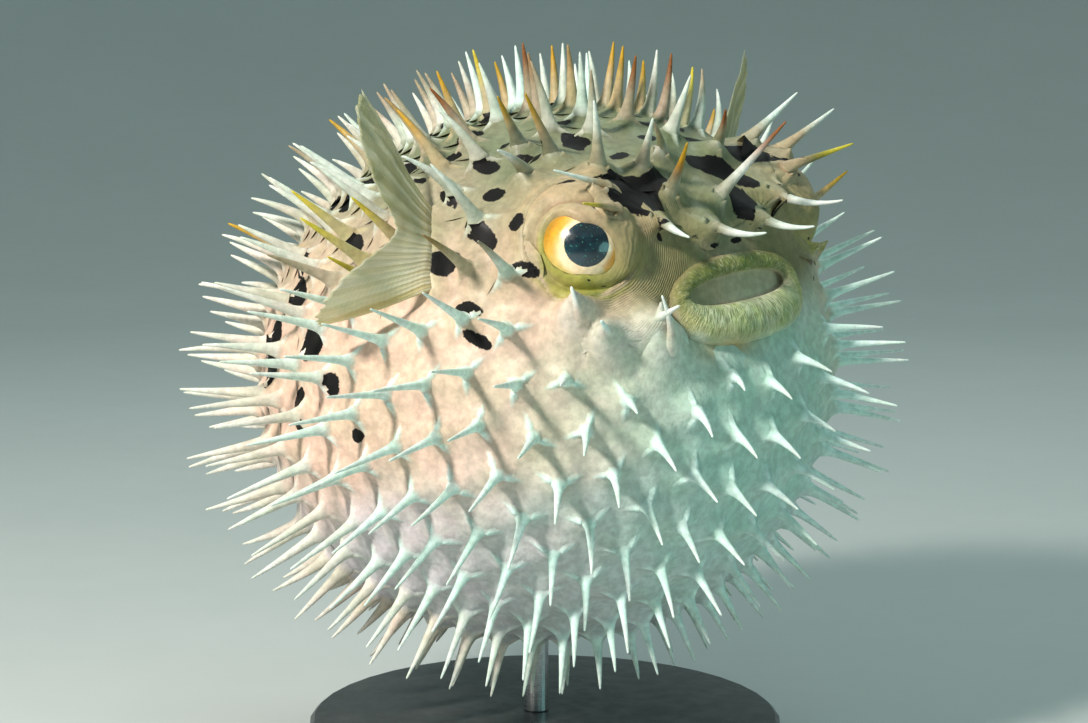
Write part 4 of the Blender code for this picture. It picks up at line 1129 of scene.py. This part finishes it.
def make_lids(material):
    """Both eyes' lids: the left one mirrors the right, with its front fold drawn further over the eye."""
    parts = []
    for count, (side, cover) in enumerate(((1.0, 0.0), (-1.0, 30.0))):
        patch, heads, share, round_eye = lid_patch(cover)
        quads, places = grid_faces(*share.shape)
        places = places * np.array([0.48, 0.96]) + np.array([0.01 + 0.5 * count, 0.02])
        if side < 0.0:
            quads, places = quads[:, ::-1], places[:, ::-1]
        share, round_eye = share.ravel(), round_eye.ravel()
        heads = heads.reshape(-1, 3) * flipped(side)
        flecks = [np.hypot((round_eye - turn) * 0.12, (share - out) * 18.0) - size
                  for turn, out, size in LID_FLECKS]
        spot = np.minimum(markings(heads) + 30.0 * (share < 0.5), np.min(flecks, axis=0))
        parts.append((patch.reshape(-1, 3) * flipped(side), heads, share, quads + count * share.size, places,
                      lid_tone(skin_tone(heads), share, round_eye, heads), spot))
    flat, heads, share, quads, places, tone, spot = (np.concatenate(part) for part in zip(*parts))
    values = {"tone": tone, "spot": spot, "lips": np.zeros(len(flat)),
              **wrinkle_values(flat, heads, ease(share, 0.10, 0.35))}
    return make_piece("eyelids", flat, quads, (), places, material, values)


def make_eye(name, side, material):
    """An eyeball turned about the way it looks: a sphere with a little more bulge at the pupil."""
    rows, columns = 64, 96
    lean = np.linspace(0.4, 179.6, rows)[:, None]
    turn = np.radians(np.arange(columns) * 360.0 / columns)
    radius = EYE_RADIUS * (1.0 + 0.022 * bump(lean, 0.0, 28.0))
    heading = cone_way(eye_frame(EYE_GAZE), np.radians(lean), turn)
    points = with_ends(EYE_CENTRE + heading * radius[..., None]) * flipped(side)
    gaze = np.concatenate([np.broadcast_to(lean, (rows, columns)).ravel(), [0.0, 180.0]])
    around = np.concatenate([np.broadcast_to(np.degrees(turn), (rows, columns)).ravel(), [0.0, 0.0]])
    upper_rear = bump(around, 140.0, 42.0)
    lower_front = bump((around + 60.0) % 360.0, 25.0, 34.0)
    warm = np.clip(upper_rear + lower_front, 0.0, 1.0)
    tone = mix(RING_CREAM, IRIS_YELLOW, ease(gaze, PUPIL_EDGE + 7.0, PUPIL_EDGE + 16.0))
    tone = mix(tone, IRIS_ORANGE, warm * ease(gaze, PUPIL_EDGE + 2.0, PUPIL_EDGE + 9.0))
    tone = mix(tone, IRIS_BROWN, upper_rear * ease(gaze, PUPIL_EDGE + 12.0, PUPIL_EDGE + 24.0) * 0.9)
    quads, places = grid_faces(rows, columns)
    values = {"tone": tone, "gaze": gaze}
    return make_piece(name, points, quads, both_ends(rows, columns), places, material, values)


# ---------------------------------------------------------------- spines

def spine_colours(count, rng):
    """Each spine's shaft and tip colour: mint below, partly painted teal water light, cream behind, mixed
    with amber and rust on the back.
    """
    height = SPINE_WAYS[:, 2]
    from_mouth = TABLE[:, 0]
    uneven = rng.uniform(-0.12, 0.12, count)
    # Mint shafts: pale spine colour with painted teal water light.
    shaft = np.tile(np.array(MINT_WATER_LIT), (count, 1))
    shaft = mix(shaft, CREAM, ease(from_mouth + 60.0 * uneven, 82.0, 112.0) * 0.8)
    shaft = mix(shaft, CREAM, ease(height, -0.45, -0.72) * ease(from_mouth, 70.0, 95.0) * 0.8)
    pick = rng.random(count)
    upper = ease(height + uneven, 0.34, 0.56)
    shaft = mix(shaft, mix(BEIGE, MINT_WATER_LIT, rng.random(count) * 0.6), upper * (pick < 0.62) * 0.85)
    tip = mix(shaft, WHITE, ease(from_mouth, 130.0, 70.0) * 0.25 + 0.45)
    ahead = ease(from_mouth, 105.0, 70.0)
    for low, high, colour in ((0.62, 0.80, AMBER), (0.80, 0.86, RUST), (0.86, 0.94, YELLOW)):
        chosen = (height > 0.42) & (pick >= low + 0.08 * (1.0 - ahead)) & (pick < high)
        shaft = mix(shaft, mix(BEIGE, colour, rng.random(count) * 0.4 + 0.1), chosen * 0.9)
        tip = mix(tip, colour, chosen * 1.0)
    tip = mix(tip, BURNT_TIP, (rng.random(count) < 0.20) * (upper > 0.5) * 0.8)
    for row in HEAD_SPINES:
        here = np.abs(TABLE[:, :2] - np.array(row[:2])).max(axis=1) < 0.01
        shaft, tip = mix(shaft, row[7], here * 1.0), mix(tip, row[8], here * 1.0)
    return shaft, tip


def turn_off(arm):
    """Degrees from an arm to each point round a spine, from -180 to 180."""
    return (SPINE_TURNS - arm + 180.0) % 360.0 - 180.0


def spine_feet(table, foot, first, second, arm_length):
    """The foot's rings: points on the tented skin at set reaches from the spine, sunk but for three ridges.

    A ridge is a power of what is left of its arm's length, times a bell of the distance aside from the arm.
    Returns the points, how much each is ridge, and the directions that carry the markings.
    """
    turn = np.radians(SPINE_TURNS)[:, None]
    reach = FOOT_REACH[None, :, None] * table[:, 6, None, None] ** 0.5
    offset = first[:, None, None] * np.cos(turn) + second[:, None, None] * np.sin(turn)
    ways = unit(foot[:, None, None] + offset * reach[..., None])
    ridge = np.zeros(ways.shape[:-1])
    for arm, size in zip(ARM_TURNS, ARM_SIZES):
        left = np.clip(1.0 - reach / (arm_length[:, None, None] * (0.4 + 0.6 * size)), 0.0, 1.0)
        ridge += ARM_HEIGHT * size * left**1.2 * bump(reach * np.radians(turn_off(arm)), 0.0, ARM_WIDTH)
    shown = ridge * ~ON_CHEEK[:, None, None] - by_kind(FOOT_DEPTH)[:, None, None]
    return drawn_skin(ways, shown), 0.9 * np.clip(shown / 0.0006, 0.0, 1.0), ways


def spine_shafts(table, foot, normal, first, second):
    """The shaft's rings, its tip, and how high up the spine each ring stands.

    The centre line starts at the low lean and turns to the high one. The radius falls as a power of what is
    left of the length, and flares by a falling exponential at the foot, most where the cheek is drawn up.
    """
    turn = np.radians(SPINE_TURNS)
    low, high, _ = (way[:, None] for way in spine_ways(table, 0.45, 0.40))
    length, stout = table[:, 2:3], table[:, 6:7]
    start = foot + normal * 0.0016 * ease(table[:, 3:4], 28.0, 62.0)
    height = SHAFT_START + (length - SHAFT_START) * SHAFT_STEPS
    reach = (height / length)[..., None]
    line = start[:, None] + length[..., None] * (low * (reach - reach**2 / 2.0) + high * reach**2 / 2.0)
    heading = unit(low * (1.0 - reach) + high * reach)
    turned = ease(height, 0.0020, 0.0070)[..., None]
    upright = unit(first[:, None] - heading * (heading * first[:, None]).sum(-1, keepdims=True))
    forward = unit(first[:, None] * (1.0 - turned) + upright * turned)
    aside = unit(second[:, None] * (1.0 - turned) + np.cross(heading, upright) * turned)
    above = height - SHAFT_START
    radius = TIP_RADIUS + (SHAFT_RADIUS * stout - TIP_RADIUS) * (1.0 - SHAFT_STEPS) ** 0.9
    radius = radius + by_kind(FLARE)[:, None] * np.exp(-above / by_kind(FLARE_FALL)[:, None])
    corner = sum(size * bump(turn_off(arm), 0.0, 20.0) for arm, size in zip(ARM_TURNS, ARM_SIZES))
    radius = radius[..., None] * (1.0 + 0.20 * corner * np.exp(-above / 0.0022)[..., None])
    shaft = (line[:, :, None] + forward[:, :, None] * (radius * np.cos(turn))[..., None]
             + aside[:, :, None] * (radius * np.sin(turn))[..., None])
    return shaft, line[:, -1] + heading[:, -1] * 0.0006, height


def varied_table(rng):
    """The table with each spine's length, lean and heading varied a little, but for the head's own."""
    table, free = TABLE.copy(), ~FROM_HEAD
    table[:, 2] *= 1.0 + rng.uniform(-0.07, 0.07, len(table)) * free
    table[:, 3] += rng.uniform(-4.0, 4.0, len(table)) * free
    table[:, 4] += rng.uniform(-25.0, 25.0, len(table)) * free
    return table


def spine_look(ways, ridge, height, shaft_tone, tip_tone):
    """Each point's tone and distance from a dark mark: the skin's low down, the spine's own further up."""
    count, _, sides = ridge.shape
    along = ease(SHAFT_STEPS, 0.25, 0.85)[None, :, None] * np.ones((count, 1, sides))
    own = np.concatenate([np.broadcast_to(shaft_tone[:, None, None], (*ridge.shape, 3)),
                          mix(shaft_tone[:, None, None], tip_tone[:, None, None], along)], axis=1)
    shown = ease(height, by_kind(SKIN_UP_TO)[:, None], by_kind(SPINE_FROM)[:, None])
    grown = np.concatenate([ridge * by_kind(ARM_COLOUR)[:, None, None],
                            shown[..., None] * np.ones(sides)], axis=1)
    return mix(skin_tone(ways), own, grown), markings(ways) + 14.0 * ease(grown, 0.45, 1.0)


def make_spines(material):
    """Every spine as a curved taper on a foot with three ridged arms, in a right and a left piece.

    The arms spread from the tangent that leads away from the cheek.
    """
    rng = np.random.default_rng(7)
    table = varied_table(rng)
    count, sides = len(table), len(SPINE_TURNS)
    foot, normal, _, _ = spine_frame(table[:, 0], table[:, 1])
    pole = direction(*ARM_POLE) * np.where(table[:, 1:2] < 0.0, flipped(-1.0), 1.0)
    first = unit(normal * (normal * pole).sum(-1, keepdims=True) - pole)
    second = np.cross(normal, first)
    feet, ridge, ways = spine_feet(table, foot, first, second, rng.uniform(0.0074, 0.0092, count))
    shaft, tips, height = spine_shafts(table, foot, normal, first, second)
    points = np.concatenate([feet, shaft], axis=1)
    ways = np.concatenate([ways, unit(shaft)], axis=1)

    shaft_tone, tip_tone = spine_colours(count, rng)
    tone, spot = spine_look(ways, ridge, height, shaft_tone, tip_tone)
    rows = points.shape[1]
    size = rows * sides + 1
    quads, places = grid_faces(rows, sides)
    caps = end_faces(rows, sides, size - 1)
    body = np.concatenate([points.reshape(count, -1, 3), tips[:, None]], axis=1)
    tone = np.concatenate([tone.reshape(count, -1, 3), tip_tone[:, None]], axis=1)
    spot = np.concatenate([spot.reshape(count, -1), np.full((count, 1), 30.0)], axis=1)
    made = []
    for name, chosen in (("spines_right", TABLE[:, 1] >= 0.0), ("spines_left", TABLE[:, 1] < 0.0)):
        number = int(chosen.sum())
        start = (np.arange(number) * size)[:, None, None]
        values = {"tone": tone[chosen].reshape(-1, 3), "spot": spot[chosen].ravel()}
        values.update({key: np.zeros(number * size) for key in ("lips", "wrinkle", "off_eye")})
        patch = places * 0.9 * cell_size(number) + spine_cells(TABLE[chosen])[:, None, None]
        flat = body[chosen].reshape(-1, 3)
        made.append(make_piece(name, flat, quads + start, caps + start, patch, material, values))
    return made


def cell_size(number):
    """The side of a spine's square in the unwrap."""
    return 1.0 / math.ceil(math.sqrt(number))


def spine_cells(table):
    """Each spine's square of the unwrap: rows in the order of from_mouth, along them in that of around."""
    side = math.ceil(math.sqrt(len(table)))
    order = np.argsort(table[:, 0], kind="stable")
    cells = np.zeros((len(table), 2))
    for row in range(side):
        members = order[row * side:(row + 1) * side]
        members = members[np.argsort(table[members, 1])]
        cells[members] = np.stack([np.arange(len(members)), np.full(len(members), row)], -1) / side
    return cells


# ---------------------------------------------------------------- fins

def fin_middle(name, rays, steps, fray):
    """The fin's middle surface, frayed between the rays at its margin, with its root sunk into the body."""
    middle = fin_surface(name, rays, steps)
    fray = fray + 0.9 * noise(middle[:, -1], 0.0028, 17.0)
    fringe = 1.0 - 0.030 * fray[:, None, None] * steps[None, :, None] ** 6
    middle = middle[:, :1] + (middle - middle[:, :1]) * fringe
    sink = (0.0036 if name.startswith("pectoral") else 0.0016) * np.clip(1.0 - steps / 0.09, 0.0, 1.0) ** 1.6
    inward = {"dorsal_fin": -UPRIGHT, "anal_fin": UPRIGHT,
              "caudal_fin": -tail_frame(1.0)[1]}.get(name, -unit(middle[:, :1]))
    return middle + inward * sink[None, :, None]


def fin_sheet(name, number, rays, steps, fleshy):
    """A closed sheet about the fin's middle surface, which waves a little: each row is a closed loop.

    Half the thickness is a tapering web, a root that dies away from the body, and a rib that follows the
    cosine of the ray's number.
    """
    swing = np.cos(2.0 * math.pi * number)
    middle = fin_middle(name, rays, steps, 0.5 - 0.5 * swing)
    normals = unit(np.cross(np.gradient(middle, axis=0), np.gradient(middle, axis=1)))
    wave = noise(middle, 0.010, 11.0) * 0.0014 * steps**0.8 + noise(middle, 0.0035, 18.0) * 0.0003 * steps
    middle = middle + normals * wave[..., None]
    web = 0.00034 * (1.0 - 0.62 * steps) + fleshy * np.exp(-steps / 0.13)
    half = web[None, :] + 0.00008 * (0.5 + 0.5 * swing)[:, None] ** 2 * (1.0 - 0.75 * steps)[None, :]
    closing = np.minimum(np.arange(len(rays)), np.arange(len(rays))[::-1])
    half = half * np.clip(0.25 + closing / 3.0, 0.0, 1.0)[:, None]
    front, rear = middle + normals * half[..., None], middle - normals * half[..., None]
    return np.concatenate([front, rear[::-1]], axis=0).transpose(1, 0, 2)


def make_fin(name, ray_count, fleshy, material):
    """A fin's sheet with a rib at every ray, closed at its root and margin, and its colours and map."""
    columns, rows = ray_count * 6 + 1, 30
    rays = np.linspace(0.0, 1.0, columns)
    steps = np.linspace(0.0, 1.0, rows) ** 1.3
    number = rays * ray_count
    points = fin_sheet(name, number, rays, steps, fleshy)
    around = points.shape[1]
    quads, places = grid_faces(rows, around)
    strip = np.arange(columns - 1)
    ends = []
    for row, turned in ((0, 1), (rows - 1, -1)):
        first = row * around + strip
        opposite = (row + 1) * around - 1 - strip
        ends.append(np.stack([first, first + 1, opposite - 1, opposite], -1)[:, ::turned])
    share = np.concatenate([number, number[::-1]])
    flat = points.reshape(-1, 3)
    reach = np.repeat(steps, around)
    along = np.tile(share, rows) / ray_count
    tone = mix(FIN_DARK, FIN_PALE, ease(along + 0.15 * noise(flat, 0.012, 12.0), 0.40, 0.62))
    tone = mix(tone, FIN_YELLOW, ease(along, 0.80, 0.98) * 0.85)
    tone = mix(tone, FIN_ROOT, ease(reach, 0.28, 0.0) * 0.7)
    values = {"tone": tone, "ray": np.tile(share, rows), "reach": reach}
    uv = np.concatenate([places * np.array([1.0, 0.94]),
                         np.tile(np.array([0.0, 0.96]), (2 * len(strip), 4, 1))])
    return make_piece(name + "_detail", flat, np.concatenate([quads, *ends]), (), uv, material, values)


# ---------------------------------------------------------------- studio

def make_floor(material):
    """A plain floor: flat under the stand, then curving up all round into a wide bowl."""
    columns = 96
    curve = np.linspace(0.1, math.pi / 2.0, 16)
    reach = np.concatenate([np.linspace(0.02, FLOOR_FLAT, 16), FLOOR_FLAT + FLOOR_CURVE * np.sin(curve)])
    height = np.concatenate([np.zeros(16), FLOOR_CURVE * (1.0 - np.cos(curve))])
    turn = np.arange(columns) * 2.0 * math.pi / columns
    points = np.stack(np.broadcast_arrays(reach[:, None] * np.cos(turn), reach[:, None] * np.sin(turn),
                                          height[:, None]), -1).reshape(-1, 3)
    quads, _ = grid_faces(len(reach), columns)
    mesh = bpy.data.meshes.new("studio_floor")
    mesh.from_pydata(points.tolist(), [], quads.tolist() + [list(range(columns))])
    placed_mesh("studio_floor", mesh, material)


def aim(obj, place, target):
    """Puts an object at place with its -Z turned to the target and its +Y as upright as can be."""
    obj.location = place
    heading = Vector(target) - Vector(place)
    obj.rotation_euler = heading.to_track_quat("-Z", "Y").to_euler()


def round_place(azimuth, elevation, distance):
    """A place round the ball: azimuth 0 stands at -Y and 90 at +X, elevation above the horizon."""
    a, e = math.radians(azimuth), math.radians(elevation)
    way = np.array([math.sin(a) * math.cos(e), -math.cos(a) * math.cos(e), math.sin(e)])
    return tuple(BALL_CENTRE + way * distance)


def make_light(name, azimuth, elevation, distance, size, power, colour):
    """A round soft light aimed at the ball's centre."""
    data = bpy.data.lights.new(name, "AREA")
    data.shape = "DISK"
    data.size = size
    data.energy = power
    data.color = colour
    aim(placed(name, data), round_place(azimuth, elevation, distance), tuple(BALL_CENTRE))


def make_studio():
    """Soft warm light from the camera's upper left, a cooler one from its lower right, and a pale room."""
    make_floor(floor_material())
    for name, light in LIGHTS.items():
        make_light(name, *light)
    world = bpy.data.worlds.new("studio_air")
    world.use_nodes = True
    world.node_tree.nodes["Background"].inputs["Color"].default_value = AIR_COLOUR
    world.node_tree.nodes["Background"].inputs["Strength"].default_value = AIR_STRENGTH
    bpy.context.scene.world = world
    camera = bpy.data.cameras.new("camera")
    camera.sensor_width = CAMERA_SENSOR
    camera.lens = CAMERA_LENS
    camera.shift_x, camera.shift_y = CAMERA_SHIFT
    camera.clip_start = 0.01
    obj = placed("camera", camera)
    aim(obj, round_place(CAMERA_AZIMUTH, CAMERA_ELEVATION, CAMERA_DISTANCE), tuple(BALL_CENTRE))
    bpy.context.scene.camera = obj
    bpy.context.scene.view_settings.view_transform = "Standard"
    bpy.context.scene.view_settings.look = "None"


def main():
    """Makes every piece, says what it rides on and replaces, and sets up the studio."""
    flesh = flesh_material()
    eye = eye_material()
    fin = fin_material()
    skin = make_skin(flesh)
    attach(skin, "root")
    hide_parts("head", "trunk", "tail")
    for piece in (make_lids(flesh), *make_spines(flesh)):
        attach(piece, "root")
    for name, side in (("eye_right", 1.0), ("eye_left", -1.0)):
        piece = make_eye(name + "_ball", side, eye)
        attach(piece, "root")
        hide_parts(name)
    for name, (rays, fleshy) in FINS.items():
        piece = make_fin(name, rays, fleshy, fin)
        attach(piece, "root")
        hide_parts(name)
    for name, material in (("stand_base", base_material()), ("stand_rod", rod_material())):
        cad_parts[name].data.materials.clear()
        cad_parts[name].data.materials.append(material)
    make_studio()


main()
